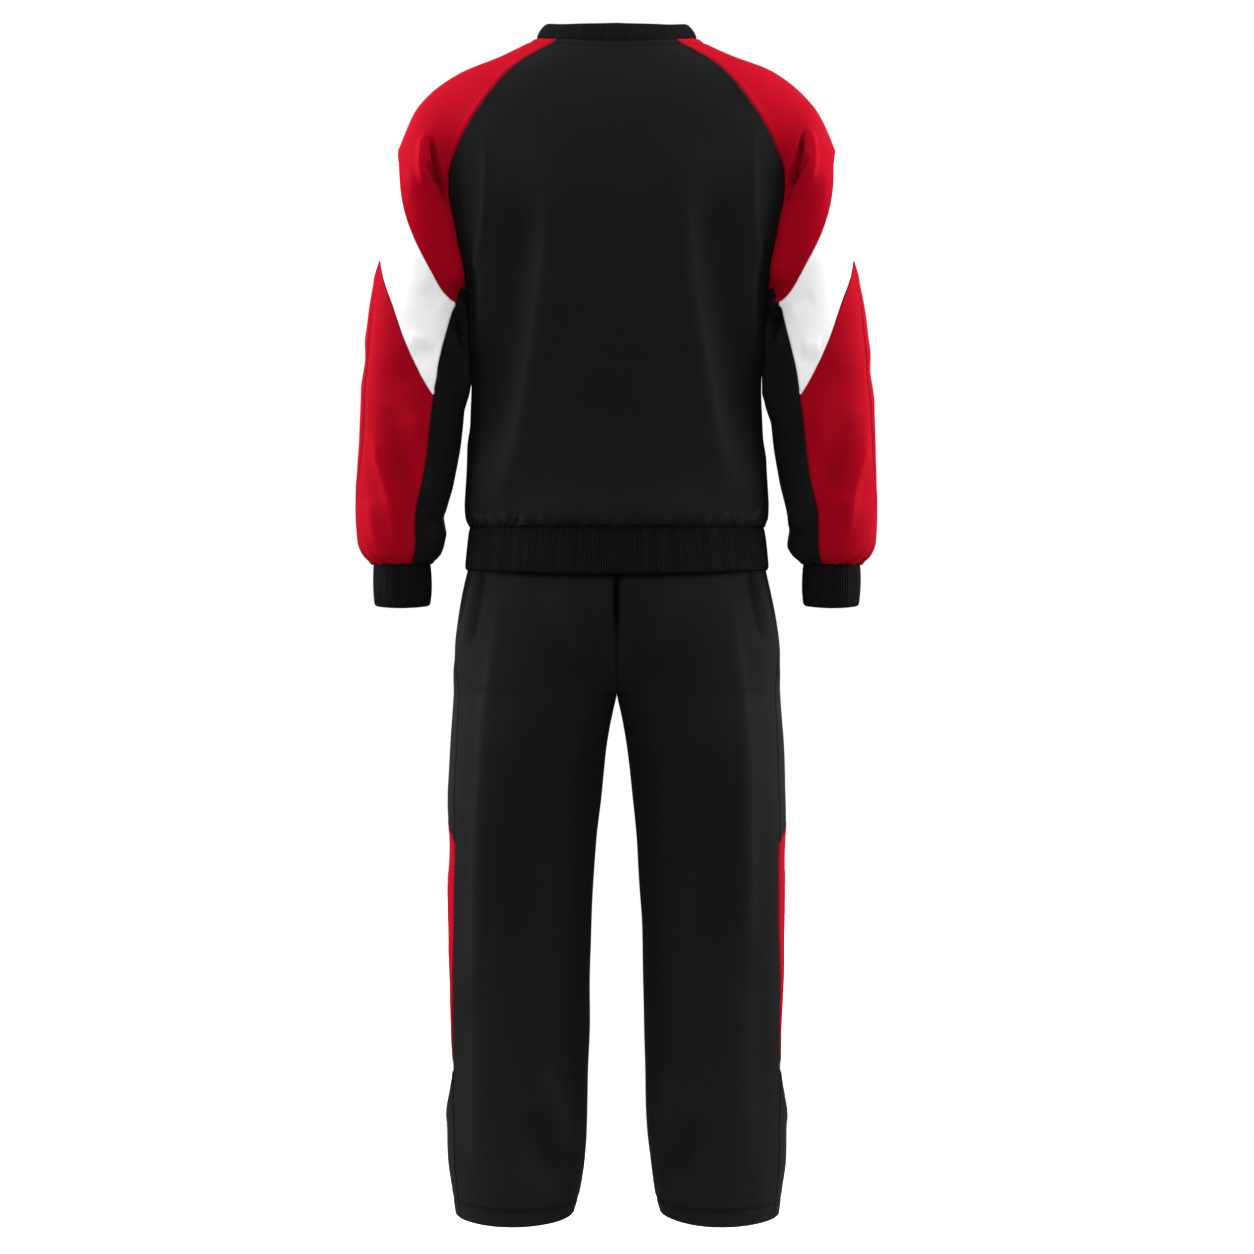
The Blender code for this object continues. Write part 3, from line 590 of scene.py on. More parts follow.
# Creases as rise and half-width in mm, sharpness from 0 to 1, and points across and up in mm.
# Through the crest mask a ridge also gets a painted highlight and a trough painted shade.
BACK_CREASES = (
    (3.4, 13, 0.5, (84, -199), (89, -253), (96, -322), (106, -396), (118, -464), (128, -519),
     (144, -572), (180, -610)),
    (-3.4, 28, 0.0, (124, -160), (129, -270), (141, -360), (153, -440), (163, -500), (176, -560)),
    (3.4, 13, 0.5, (-91, -189), (-91, -253), (-96, -312), (-106, -381), (-120, -460), (-134, -529),
     (-164, -600)),
    (-3.4, 28, 0.0, (-129, -160), (-134, -270), (-146, -360), (-157, -440), (-167, -500), (-178, -560)),
    (3.6, 6, 0.8, (168, -120), (168, -180), (169, -230), (173, -268), (179, -294), (175, -318),
     (176, -357), (180, -430)),
    (3.4, 6, 0.8, (-176, -110), (-175, -180), (-176, -240), (-181, -286), (-176, -316), (-177, -360),
     (-181, -440)),
    (1.6, 24, 0.0, (150, -604), (60, -608), (-60, -608), (-150, -604)),
    (3.2, 4, 0.3, (187, -612), (177, -619), (167, -629)),
    (3.0, 4, 0.3, (168, -615), (160, -622), (154, -630)),
    (2.9, 4, 0.3, (149, -614), (142, -621), (134, -630)),
    (2.6, 4, 0.3, (125, -617), (118, -623), (110, -630)),
    (2.1, 4, 0.3, (100, -619), (94, -625), (88, -630)),
    (3.0, 4, 0.3, (-186, -608), (-177, -618), (-168, -629)),
    (2.9, 4, 0.3, (-163, -612), (-156, -621), (-149, -630)),
    (2.7, 4, 0.3, (-143, -612), (-136, -620), (-128, -630)),
    (2.2, 4, 0.3, (-120, -616), (-113, -623), (-107, -630)),
    (1.2, 5, 0.2, (-60, -618), (-64, -624), (-69, -630)),
)
FRONT_CREASES = (
    (3.0, 13, 0.4, (88, -215), (86, -290), (95, -370), (110, -450), (126, -530), (158, -598)),
    (-4.5, 24, 0.0, (122, -190), (124, -290), (138, -390), (156, -480), (172, -560)),
    (3.0, 13, 0.4, (-82, -205), (-86, -290), (-99, -380), (-108, -470), (-130, -545), (-150, -600)),
    (-4.5, 24, 0.0, (-120, -190), (-126, -290), (-142, -390), (-152, -480), (-170, -560)),
    (3.0, 9, 0.4, (176, -120), (174, -200), (178, -270), (176, -350)),
    (3.0, 9, 0.4, (-174, -120), (-177, -200), (-175, -270), (-178, -330)),
    (4.0, 20, 0.0, (160, -598), (60, -606), (-50, -603), (-165, -600)),
    (1.8, 16, 0.0, (-40, -118), (0, -132), (44, -116)),
    (1.4, 7, 0.2, (-95, -545), (-112, -580), (-118, -604)),
)
LEFT_SLEEVE_BACK = (
    (4.0, 5, 0.6, (245, -200), (250, -165), (249, -140), (242, -127)),
    (-13.0, 4.2, 0.4, (240, -130), (232, -152), (229, -168), (223, -186), (215, -203), (208, -219)),
    (3.4, 4, 0.6, (235, -132), (229, -152), (225, -170), (218, -184), (209, -198)),
    (-6.0, 4, 0.3, (243, -164), (232, -184), (220, -202), (210, -217)),
    (6.0, 13, 0.1, (214, -214), (206, -238), (203, -268), (200, -300), (200, -330)),
    (4.0, 5, 0.4, (207, -340), (201, -349), (190, -357)),
    (-4.5, 5, 0.2, (208, -352), (201, -361), (190, -369)),
    (-8.0, 8, 0.1, (203, -364), (197, -385), (193, -408)),
    (3.0, 6, 0.4, (210, -374), (208, -396), (200, -414)),
    (-2.4, 3.5, 0.3, (312, -320), (316, -366), (325, -452), (329, -516), (331, -590)),
    (2.5, 12, 0.2, (262, -150), (262, -200), (252, -250), (236, -300)),
    (-3.0, 12, 0.0, (246, -326), (222, -346)),
    (3.0, 9, 0.1, (266, -388), (240, -392)),
    (-3.6, 7, 0.2, (262, -413), (226, -409)),
    (2.2, 8, 0.2, (252, -432), (222, -446)),
    (3.6, 8, 0.5, (314, -505), (309, -542), (300, -572), (288, -624), (284, -650)),
    (-3.0, 16, 0.0, (296, -470), (280, -530), (266, -590)),
    (2.6, 12, 0.2, (262, -480), (250, -540), (246, -600)),
    (2.0, 7, 0.3, (226, -596), (232, -622), (240, -640)),
    (2.4, 8, 0.3, (320, -590), (316, -630), (306, -655)),
)
RIGHT_SLEEVE_BACK = (
    (4.0, 5, 0.6, (-247, -196), (-253, -160), (-251, -134), (-244, -120)),
    (-13.0, 4.2, 0.4, (-242, -122), (-235, -144), (-231, -162), (-224, -181), (-217, -198), (-209, -214)),
    (3.4, 4, 0.6, (-237, -124), (-231, -145), (-227, -163), (-219, -179), (-210, -193)),
    (-5.5, 4, 0.3, (-245, -158), (-234, -178), (-221, -197), (-211, -212)),
    (6.0, 13, 0.1, (-215, -210), (-208, -234), (-204, -264), (-202, -296), (-201, -326)),
    (4.0, 5, 0.4, (-209, -336), (-202, -346), (-191, -353)),
    (-4.5, 5, 0.2, (-210, -348), (-202, -358), (-191, -366)),
    (-8.0, 8, 0.1, (-204, -360), (-198, -380), (-194, -404)),
    (3.0, 6, 0.4, (-211, -370), (-209, -391), (-201, -410)),
    (-2.4, 3.5, 0.3, (-312, -318), (-317, -366), (-326, -452), (-330, -516), (-332, -590)),
    (2.5, 12, 0.2, (-268, -160), (-264, -214), (-250, -266), (-234, -306)),
    (-2.6, 12, 0.0, (-250, -336), (-224, -352)),
    (2.6, 9, 0.1, (-262, -398), (-236, -400)),
    (-3.0, 7, 0.2, (-258, -420), (-228, -414)),
    (3.4, 8, 0.5, (-322, -500), (-318, -540), (-308, -580), (-300, -630), (-296, -652)),
    (-3.0, 16, 0.0, (-300, -480), (-284, -540), (-270, -596)),
    (2.6, 12, 0.2, (-264, -490), (-252, -548), (-248, -604)),
    (2.2, 7, 0.3, (-228, -592), (-233, -618), (-242, -642)),
)
LEFT_SLEEVE_FRONT = (
    (4.0, 11, 0.4, (240, -125), (232, -160), (220, -196), (206, -232)),
    (-5.0, 10, 0.2, (224, -160), (213, -196), (203, -232)),
    (3.0, 10, 0.2, (290, -372), (262, -388), (234, -384)),
    (-3.4, 9, 0.2, (292, -404), (262, -414), (230, -402)),
    (3.0, 10, 0.2, (286, -440), (256, -448), (226, -432)),
    (3.0, 9, 0.4, (304, -510), (296, -570), (286, -640)),
    (2.4, 8, 0.3, (250, -560), (254, -610), (262, -648)),
)
RIGHT_SLEEVE_FRONT = (
    (4.0, 11, 0.4, (-243, -120), (-236, -156), (-222, -190), (-208, -228)),
    (-5.0, 10, 0.2, (-228, -158), (-216, -192), (-204, -230)),
    (3.0, 10, 0.2, (-288, -366), (-262, -380), (-236, -380)),
    (-3.4, 9, 0.2, (-290, -396), (-260, -408), (-232, -400)),
    (3.0, 10, 0.2, (-282, -452), (-254, -456), (-228, -444)),
    (3.0, 9, 0.4, (-306, -520), (-297, -576), (-289, -640)),
)
LEG_BACK_CREASES = (
    (-2.0, 7, 0.0, (0, -640), (0, -700), (0, -745), (0, -795)),
    (-4.5, 3.4, 0.3, (0, -660), (0, -712), (0, -770)),
    (3.6, 11, 0.5, (151, -685), (152, -730), (155, -769), (161, -811), (168, -865), (173, -930),
     (178, -1005), (181, -1087), (183, -1220), (184, -1300)),
    (3.6, 5, 0.6, (180, -680), (187, -728), (194, -766), (202, -812), (207, -852)),
    (-4.2, 6, 0.2, (173, -676), (175, -715), (179, -745), (187, -790)),
    (-4.6, 3.6, 0.0, (215, -688), (100, -693), (0, -695), (-100, -693), (-215, -688)),
    (2.6, 12, 0.3, (180, -1240), (184, -1336), (184, -1408), (178, -1470)),
    (3.6, 11, 0.5, (-146, -685), (-149, -735), (-155, -801), (-163, -856), (-168, -928),
     (-169, -1005), (-171, -1100), (-169, -1226)),
    (3.6, 5, 0.6, (-181, -680), (-188, -726), (-195, -762), (-202, -806), (-207, -846)),
    (-4.0, 6, 0.2, (-172, -676), (-174, -712), (-179, -742), (-187, -786)),
    (2.6, 12, 0.3, (-167, -1180), (-166, -1309), (-171, -1392), (-172, -1465)),
    (1.2, 18, 0.1, (96, -700), (74, -728), (52, -772), (38, -812)),
    (1.2, 18, 0.1, (-92, -700), (-74, -730), (-54, -766), (-40, -806)),
    (2.2, 11, 0.2, (88, -1310), (78, -1353), (64, -1392), (51, -1440)),
    (2.0, 11, 0.2, (-66, -1320), (-58, -1370), (-50, -1408), (-46, -1450)),
    (-2.0, 16, 0.0, (110, -1370), (90, -1420), (72, -1470)),
    (1.4, 20, 0.0, (130, -1440), (96, -1462), (74, -1478)),
    (-2.0, 16, 0.0, (-104, -1380), (-88, -1426), (-74, -1474)),
    (1.0, 4, 0.3, (96, -1338), (84, -1342)),
    (-1.2, 30, 0.0, (140, -880), (146, -1040), (142, -1200)),
    (-1.2, 30, 0.0, (-132, -880), (-138, -1040), (-136, -1200)),
)
LEG_FRONT_CREASES = (
    (-4.6, 3.6, 0.0, (215, -688), (100, -693), (0, -695), (-100, -693), (-215, -688)),
    (3.2, 13, 0.4, (140, -740), (150, -830), (158, -950), (160, -1080), (160, -1220), (158, -1330)),
    (2.4, 12, 0.3, (158, -1290), (152, -1390), (146, -1470)),
    (3.2, 13, 0.4, (-138, -750), (-148, -840), (-155, -960), (-158, -1090), (-156, -1230), (-158, -1330)),
    (2.4, 12, 0.3, (-156, -1280), (-150, -1380), (-148, -1465)),
    (2.8, 12, 0.2, (30, -740), (54, -770), (84, -800)),
    (2.8, 12, 0.2, (-28, -745), (-52, -772), (-80, -806)),
    (-2.6, 14, 0.0, (24, -775), (52, -808), (80, -840)),
    (-2.6, 14, 0.0, (-24, -780), (-50, -810), (-82, -846)),
    (2.2, 11, 0.2, (90, -1120), (112, -1136), (140, -1130)),
    (2.0, 11, 0.2, (-86, -1128), (-110, -1142), (-136, -1138)),
    (2.2, 11, 0.2, (82, -1330), (70, -1380), (58, -1440)),
    (2.0, 11, 0.2, (-80, -1336), (-68, -1390), (-56, -1446)),
)

SLEEVE_SIDES = {
    "side": (
        (1.2, 14, 0.2, (-44, -352), (-6, -384), (36, -396)),
        (-1.2, 14, 0.1, (-46, -380), (-4, -410), (40, -424)),
        (1.0, 13, 0.2, (-46, -430), (0, -446), (38, -470)),
        (0.9, 15, 0.2, (20, -520), (-6, -580), (-34, -636)),
        (1.2, 11, 0.2, (6, -560), (12, -610), (4, -650)),
    ),
    "inner": (
        (3.0, 30, 0.0, (0, -280), (0, -345), (0, -410)),
        (7.5, 25, 0.0, (0, -335), (0, -385), (0, -430), (0, -484)),
        (3.0, 14, 0.0, (0, -402), (0, -425), (0, -452)),
        (1.8, 40, 0.0, (0, -430), (0, -520), (0, -590), (0, -625)),
        (-2.2, 6, 0.3, (-34, -616), (0, -620), (34, -616)),
        (2.2, 8, 0.2, (-34, -638), (0, -641), (34, -638)),
    ),
}
BODY_SIDE_CREASES = (
    (-3.2, 24, 0.0, (0, -390), (0, -440), (0, -480), (0, -530)),
    (-1.3, 60, 0.0, (0, -380), (0, -460), (0, -560), (0, -640)),
)
LEG_SIDE_CREASES = (
    (4.0, 60, 0.0, (0, -670), (0, -740), (0, -850), (0, -960), (0, -1060)),
    (2.6, 15, 0.3, (44, -760), (30, -860), (26, -980), (32, -1080)),
    (-2.8, 20, 0.0, (6, -770), (-4, -880), (-8, -1000)),
    (2.2, 14, 0.3, (-46, -790), (-38, -900), (-30, -1010)),
    (2.0, 13, 0.2, (-40, -1160), (-6, -1186), (34, -1178)),
    (-2.2, 15, 0.0, (-42, -1196), (-4, -1216), (38, -1204)),
    (2.2, 14, 0.3, (30, -1260), (24, -1360), (36, -1450)),
    (2.0, 14, 0.3, (-28, -1290), (-34, -1380), (-20, -1460)),
)

# Slow drift of all the cloth: rise and length in mm, direction, and start of each wave.
DRIFT_WAVES = (
    (0.55, 210, (1.0, 0.6, 0.35), 0.4),
    (0.45, 150, (-0.5, 1.0, 0.8), 1.7),
    (0.35, 105, (0.8, -0.7, 1.0), 2.9),
    (0.22, 74, (0.3, 0.9, -1.0), 4.1),
)

# Gathers where cloth is eased into a rib: pitch, depth and how far up they fade.
HEM_GATHER = {"pitch": 14 * MM, "depth": 3.3 * MM, "fade": 13 * MM}
CUFF_GATHER = {"pitch": 16 * MM, "depth": 3.4 * MM, "fade": 12 * MM}
WAIST_GATHER = {"pitch": 14 * MM, "depth": 1.0 * MM, "fade": 30 * MM}

# Rib knit: how far its ribs stand out, how deep their valleys are and how much that changes, how far
# a band swells between its edges and waves at its free one, points across each rib and spacing of
# rows down it, and how the crest mask follows the ribs.
RIB_STAND = 1.0 * MM
RIB_DEPTH = 0.88
RIB_DEPTH_CHANGE = 0.12
RIB_SWELL = 0.9 * MM
RIB_WAVE = 0.35 * MM
RIB_POINTS = 8
# The crest mask paints a highlight on the ribs and shade in their valleys.
RIB_PAINTED_CONTRAST = 1.1
RIB_PAINTED_SHADE = 0.75
RIB_SPACING = 4.5 * MM

# Finishes: colour, painted highlight and shade on crests and troughs, painted shade in seams and stitches,
# and gloss.
FINISHES = {
    "black_fleece": {"colour": (0.0069, 0.0069, 0.0070), "crest": 0.8, "groove": 0.4, "gloss": 0.05},
    "red_fleece": {"colour": (0.32, 0.0009, 0.0098), "crest": 0.24, "groove": 0.25, "gloss": 0.03},
    "white_fleece": {"colour": (0.97, 0.97, 0.975), "crest": 0.02, "groove": 0.06, "gloss": 0.03},
    "black_rib": {"colour": (0.0047, 0.0047, 0.0049), "crest": 1.3, "groove": 0.5, "gloss": 0.05},
}

# Edges of a panel: its first and last rows, and the start and end of every row.
EDGES = ("first", "last", "start", "end")

# Rough lengths, in metres, over which the rows and columns of each panel are spread.
BODY_LENGTH, BODY_WIDTH = 0.63, 0.45
UPPER_LENGTH, UPPER_WIDTH = 0.33, 0.175
BAND_LENGTH, LOWER_LENGTH, HALF_WIDTH = 0.1, 0.32, 0.125
UNDER_LENGTH, UNDER_WIDTH = 0.36, 0.13
LEG_LENGTH, LEG_WIDTH = 0.9, 0.2

# Places across an upper sleeve panel where its foot leaves the band, and then the under panel.
FOOT_KNOTS = (0, 0.7, 0.88, 1)

# Pieces down a leg's side panel: name, finish and rough length.
SIDE_PIECES = (
    ("top", "black_fleece", 0.42),
    ("red", "red_fleece", 0.17),
    ("white", "white_fleece", 0.19),
    ("bottom", "black_fleece", 0.16),
)

# Ribs round each band, and gathers round the waistband with the spacing of its rows.
COLLAR_RIBS = 181
HEM_RIBS = 300
CUFF_RIBS = 70
WAIST_GATHERS = 60
WAIST_SPACING = 4 * MM
# Strength of the painted highlight and painted shade that follow the waistband's gathers.
WAIST_PAINTED_SHADE = 0.3

# Lines of stitching by their distance from an edge, the dip that each presses into the cloth, and
# extra rows of points that carry it.
NECK_STITCH = 11.4 * MM
HEM_STITCHES = (("last", 23 * MM), ("last", 20 * MM))
STITCH_SPREAD = 1.2 * MM
STITCH_SINK = 1.1 * MM
# Strength of the painted shade laid into each stitch's dip.
STITCH_PAINTED_SHADE = 0.8
NECK_ROWS = np.array([8.6, 10.0, 10.8, 11.4, 12.0, 12.8]) * MM
HEM_ROWS = np.array([18.9, 19.5, 20.0, 20.6, 21.5, 22.4, 23.0, 23.6, 24.2]) * MM
CLOSEST_ROWS = 0.3 * MM

# Seams: how far pieces lap, and how far from an angled seam creases and drift come to full height.
SEAM_LAP = 0.5 * MM
CREASE_REACH = 7 * MM
DRIFT_REACH = 16 * MM

# Creases: share of a path over which its ends fade, fall and roundness of a sharp one, how squarely
# the cloth has to face a list's way, height that counts as a full crest, and how much lower those
# of the sides are on the right.
PATH_FADE = 0.24
PEAK_FALL = 1.8
PEAK_ROUND = 0.05
FACING = 0.35
FACING_INWARD = 0.2
# A crease this high gives the full painted highlight; troughs give painted shade.
CREST_HEIGHT = 5 * MM
UNEVEN = 17 * MM

# Legs at the crotch: passes and reach of the smoothing, its share of the panel, and how near the
# crotch the seat seam has no groove.
SOOTHING_PASSES = 420
SOOTHED_LENGTH = 115 * MM
SOOTHED_SHARE = 0.15
CROTCH_CLOSED = 26 * MM

# Collar: lean and drop at its sides, drop at its back, and the lap of its foot over the neck seam.
COLLAR_SIDE_LEAN = 4 * MM
COLLAR_SIDE_DROP = 4.3 * MM
COLLAR_BACK_DROP = 1.2 * MM
COLLAR_FOOT_DROP = 4.6 * MM
COLLAR_FOOT_OUT = 1.5 * MM

# Sag of the free edges in the middle of back and front, and the share of it that the sides rise by,
# spread of the leg hems at the side, levels between which a leg begins to hang, and roll of a rib.
SAG_LEVEL = 0.35
HEM_SAG = 5 * MM
CUFF_SAG = 2.5 * MM
LEG_SAG = 5 * MM
LEG_SPREAD = 4.5 * MM
HEM_HANGS = (-1.41, -1.47)
END_ROLL = 1.6 * MM
END_ROLL_LENGTH = 6 * MM

# Cloth: width of a wale and height of a course, lean and roundness of a loop, size and strength of
# the bumps, scale and detail of the nap's noise, how much the tone varies, and how dark painted shade may
# get.
WALE = 1.15 * MM
COURSE = 0.95 * MM
LOOP_LEAN = 0.7
LOOP_ROUND = 0.6
LOOP_BUMP = (0.30 * MM, 0.5)
NAP_BUMP = (0.35 * MM, 0.35)
NAP_NOISE = (("Height", 1100, 3.0), ("Mottle", 55, 4.0))
MOTTLE = 0.16
DARKEST_PAINTED_SHADE = 0.25
ROUGH = 0.9

# Camera, floor and lights: name, place, size and power of each light.
SUIT_MIDDLE = (0, 0, -0.76)
CAMERA_PLACE = (-0.01325, 3.974, -0.706)
CAMERA_TIP = 0.797
CAMERA_LENS = 87.76
SENSOR_WIDTH = 36
SURROUND = 0.2
FLOOR_LEVEL = -1.60
FLOOR_REACH = (0.05, 3.0)
FLOOR_RINGS = 24
FLOOR_SPOKES = 96
FLOOR_FADE = (1.62, 1.95)
FLOOR_GLOW = 0.85
FLOOR_TONE = 0.62
LIGHTS = (
    ("left wall", (3.2, -0.5, 0.4), (2.4, 3.0), 262),
    ("right wall", (-3.2, -0.5, 0.4), (2.4, 3.0), 262),
    ("top box", (0, 0.3, 2.6), (2.2, 1.6), 72),
    ("back fill", (0, 4.4, 0.7), (2.0, 1.6), 132),
    ("front fill", (0, -4.4, 0.7), (2.0, 1.6), 110),
)


def spaced(length, step=SPACING, rows=()):
    """Places from 0 to 1, even over a length, with extra ones near both ends for seams and stitching."""
    even = np.linspace(0, 1, max(round(length / step), 6) + 1)
    near = np.append(EDGE_STEPS, rows) / length
    places = np.unique(np.concatenate([even, near, 1 - near]))
    closest = CLOSEST_ROWS / length
    keep = np.diff(places, prepend=-1) > closest
    keep[-1] = True
    keep[-2] = keep[-2] and places[-1] - places[-2] > closest
    return places[keep]


def runs(points, axis):
    """Distance of each grid point from both ends of its line along an axis."""
    step = np.linalg.norm(np.diff(points, axis=axis), axis=-1)
    pad = [(0, 0), (0, 0)]
    pad[axis] = (1, 0)
    run = np.pad(np.cumsum(step, axis=axis), pad)
    total = np.take(run, [-1], axis=axis)
    return run, total - run


def crease_push(rows, across, level):
    """Sum of soft ridges and troughs: each is a bell, or a peak where sharp, round its smooth path."""
    push = np.zeros_like(across)
    for rise, width, sharp, *knots in rows:
        knots = np.array(knots, float) * MM
        chord = np.concatenate([[0], np.cumsum(np.linalg.norm(np.diff(knots, axis=0), axis=1))])
        at = np.linspace(0, chord[-1], 6 * len(knots))
        path = np.stack([follow(chord, knots[:, 0], at), follow(chord, knots[:, 1], at)], axis=1)
        near = np.full(across.shape, np.inf)
        share = np.zeros_like(across)
        for k in range(len(path) - 1):
            start, along = path[k], path[k + 1] - path[k]
            t = ((across - start[0]) * along[0] + (level - start[1]) * along[1]) / (along @ along)
            t = np.clip(t, 0, 1)
            away = np.hypot(across - start[0] - t * along[0], level - start[1] - t * along[1])
            closer = away < near
            near = np.where(closer, away, near)
            share = np.where(closer, (k + t) / (len(path) - 1), share)
        q = near / (width * MM)
        bell = np.exp(-(q**2))
        peak = np.exp(-PEAK_FALL * (np.sqrt(q**2 + PEAK_ROUND) - math.sqrt(PEAK_ROUND)))
        fade = ease(share / PATH_FADE), ease((1 - share) / PATH_FADE)
        push += rise * MM * (bell + (peak - bell) * sharp) * fade[0] * fade[1]
    return push


def drift(point):
    """Slow uneven rise and fall of the cloth: a few long sine waves in different directions."""
    push = np.zeros(point.shape[:-1])
    for rise, length, direction, start in DRIFT_WAVES:
        direction = np.array(direction) / np.linalg.norm(direction)
        push += rise * MM * np.sin(point @ direction * 2 * math.pi / (length * MM) + start)
    return push


def gathers(along, away, pitch, depth, fade, strength=1.0):
    """Uneven small waves along a seam that die out away from it."""
    turn = 2 * math.pi * along / pitch
    wave = np.sin(turn + 1.9 * np.sin(turn / 3.1) + 0.9 * np.sin(turn / 1.7 + 1))
    uneven = 0.65 + 0.35 * np.sin(turn / 5.3 + 0.7)
    return depth * strength * wave * uneven * np.exp(-away / fade) * ease(away / (1.2 * MM))


def seam_push(away):
    """Groove at a seam and the low rise of its turned allowance beside it."""
    groove = np.exp(-((away / SEAM_WIDTH) ** 2))
    rise = ease(away / (2 * MM)) * ease((ALLOWANCE_REACH - away) / (3 * MM))
    return ALLOWANCE_RISE * rise - SEAM_DEPTH * groove, groove


def thinned(count, closed=False):
    """Indices kept for the inside of a shell: all near the ends, and every few between."""
    if closed:
        return np.arange(0, count, INSIDE_EVERY)
    ends = [[0, 1, 2], count - 3 + np.arange(3)]
    return np.unique(np.concatenate([*ends, np.arange(4, count - 3, INSIDE_EVERY)]))


def rim(outer_line, inner_line, kept, closed, backwards):
    """Faces between an edge of the outside and the same edge, with fewer points, of the inside."""
    faces = []
    ends = np.append(kept[1:], len(outer_line)) if closed else kept[1:]
    for k, (a, b) in enumerate(zip(kept, ends)):
        run = [outer_line[i % len(outer_line)] for i in range(a, b + 1)]
        near, far = inner_line[k], inner_line[(k + 1) % len(inner_line)]
        faces.append([*run[::-1], near, far] if backwards else [*run, far, near])
    return faces


def wrapped(grid_numbers, closed):
    """A grid of point numbers, with its first column repeated at the end if the piece is a ring."""
    return np.hstack([grid_numbers, grid_numbers[:, :1]]) if closed else grid_numbers


def quads(numbers):
    """Four corner numbers of each cell of a grid."""
    corners = numbers[:-1, :-1], numbers[:-1, 1:], numbers[1:, 1:], numbers[1:, :-1]
    return np.stack([c.ravel() for c in corners], axis=1)


def add_mesh(name, points, groups, uv=None, wrap=0.0, masks=None):
    """Mesh from points and groups of faces that have the same number of corners."""
    mesh = bpy.data.meshes.new(name)
    mesh.vertices.add(len(points))
    mesh.vertices.foreach_set("co", points.astype(np.float32).ravel())
    corners = np.concatenate([g.ravel() for g in groups])
    sizes = np.concatenate([np.full(len(g), g.shape[1]) for g in groups])
    mesh.loops.add(len(corners))
    mesh.loops.foreach_set("vertex_index", corners.astype(np.int32))
    mesh.polygons.add(len(sizes))
    mesh.polygons.foreach_set("loop_start", np.concatenate([[0], np.cumsum(sizes)[:-1]]).astype(np.int32))
    mesh.update(calc_edges=True)
    if uv is not None:
        layer = mesh.uv_layers.new(name="UVMap")
        parts = []
        for g in groups:
            place = uv[g]
            if wrap:
                low = place[..., 0] < wrap / 2
                split = (place[..., 0].max(axis=1) - place[..., 0].min(axis=1) > wrap / 2)[:, None]
                place[..., 0] += np.where(low & split, wrap, 0.0)
            parts.append(place.reshape(-1, 2))
        layer.data.foreach_set("uv", np.concatenate(parts).astype(np.float32).ravel())
    for label, values in (masks or {}).items():
        layer = mesh.attributes.new(label, "FLOAT", "POINT")
        layer.data.foreach_set("value", values.astype(np.float32))
    mesh.shade_smooth()
    mesh.set_sharp_from_angle(angle=math.radians(SHARP_ANGLE))
    return mesh


def put(name, data):
    """Object of a mesh, lamp or camera, in the scene."""
    thing = bpy.data.objects.new(name, data)
    bpy.context.scene.collection.objects.link(thing)
    return thing


def add_shell(name, node, outer, inner, uv, masks, finish, closed):
    """Closed thin shell from a fine grid outside and a thinned one inside, standing for its node."""
    rows, columns = outer.shape[:2]
    keep_rows, keep_columns = thinned(rows), thinned(columns, closed)
    number = np.arange(rows * columns).reshape(rows, columns)
    inside = number.size + np.arange(len(keep_rows) * len(keep_columns)).reshape(len(keep_rows), -1)
    picked = np.ix_(keep_rows, keep_columns)
    points = np.concatenate([outer.reshape(-1, 3), inner[picked].reshape(-1, 3)])
    groups = [quads(wrapped(number, closed)), quads(wrapped(inside, closed))[:, ::-1]]
    faces = rim(number[0], inside[0], keep_columns, closed, True)
    faces += rim(number[-1], inside[-1], keep_columns, closed, False)
    if not closed:
        faces += rim(number[:, 0], inside[:, 0], keep_rows, False, False)
        faces += rim(number[:, -1], inside[:, -1], keep_rows, False, True)
    for size in sorted({len(f) for f in faces}):
        groups.append(np.array([f for f in faces if len(f) == size]))
    across = np.cross(outer[:-1, 1:] - outer[:-1, :-1], outer[1:, :-1] - outer[:-1, :-1])
    if np.sum(across * (outer - inner)[:-1, :-1]) < 0:
        groups = [g[:, ::-1] for g in groups]
    both = [np.concatenate([m.ravel(), m[picked].ravel()]) for m in masks.values()]
    flat = np.concatenate([uv.reshape(-1, 2), uv[picked].reshape(-1, 2)])
    wrap = float(uv[0, -1, 0] + uv[0, 1, 0]) if closed else 0.0
    mesh = add_mesh(name, points, groups, flat, wrap, dict(zip(masks, both)))
    mesh.materials.append(MATERIALS[finish])
    piece = put(name, mesh)
    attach(piece, "root")
    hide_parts(node)
    return piece


REGIONS = {
    "body": {"back": BACK_CREASES, "front": FRONT_CREASES, "side": BODY_SIDE_CREASES, "inner": ()},
    "left_sleeve": {"back": LEFT_SLEEVE_BACK, "front": LEFT_SLEEVE_FRONT, **SLEEVE_SIDES},
    "right_sleeve": {"back": RIGHT_SLEEVE_BACK, "front": RIGHT_SLEEVE_FRONT, **SLEEVE_SIDES},
    "leg": {"back": LEG_BACK_CREASES, "front": LEG_FRONT_CREASES, "side": LEG_SIDE_CREASES, "inner": ()},
}


def angled_seams():
    """Points along the seams where pieces meet at an angle: the armholes, neck, hem band and cuffs."""
    down, turn = np.linspace(0, 1, 90), np.linspace(0, 1, 180)
    left = [body_skin(side, 2 - down, np.ones_like(down)) for side in (BACK, FRONT)]
    left.append(sleeve_skin(np.full_like(turn, 2.0), 2 * turn - 1))
    middle = [neckline(turn * 360), hem_band_skin(np.zeros(300), np.linspace(0, 1, 300))]
    return np.concatenate([*left, *(path * [-1, 1, 1] for path in left), *middle])


def seam_distance(point):
    """Distance of each point from the nearest angled seam."""
    flat = point.reshape(-1, 3)
    square = (flat**2).sum(axis=1)[:, None] + (ANGLED_SEAMS**2).sum(axis=1) - 2 * flat @ ANGLED_SEAMS.T
    return np.sqrt(np.maximum(square.min(axis=1), 0)).reshape(point.shape[:-1])


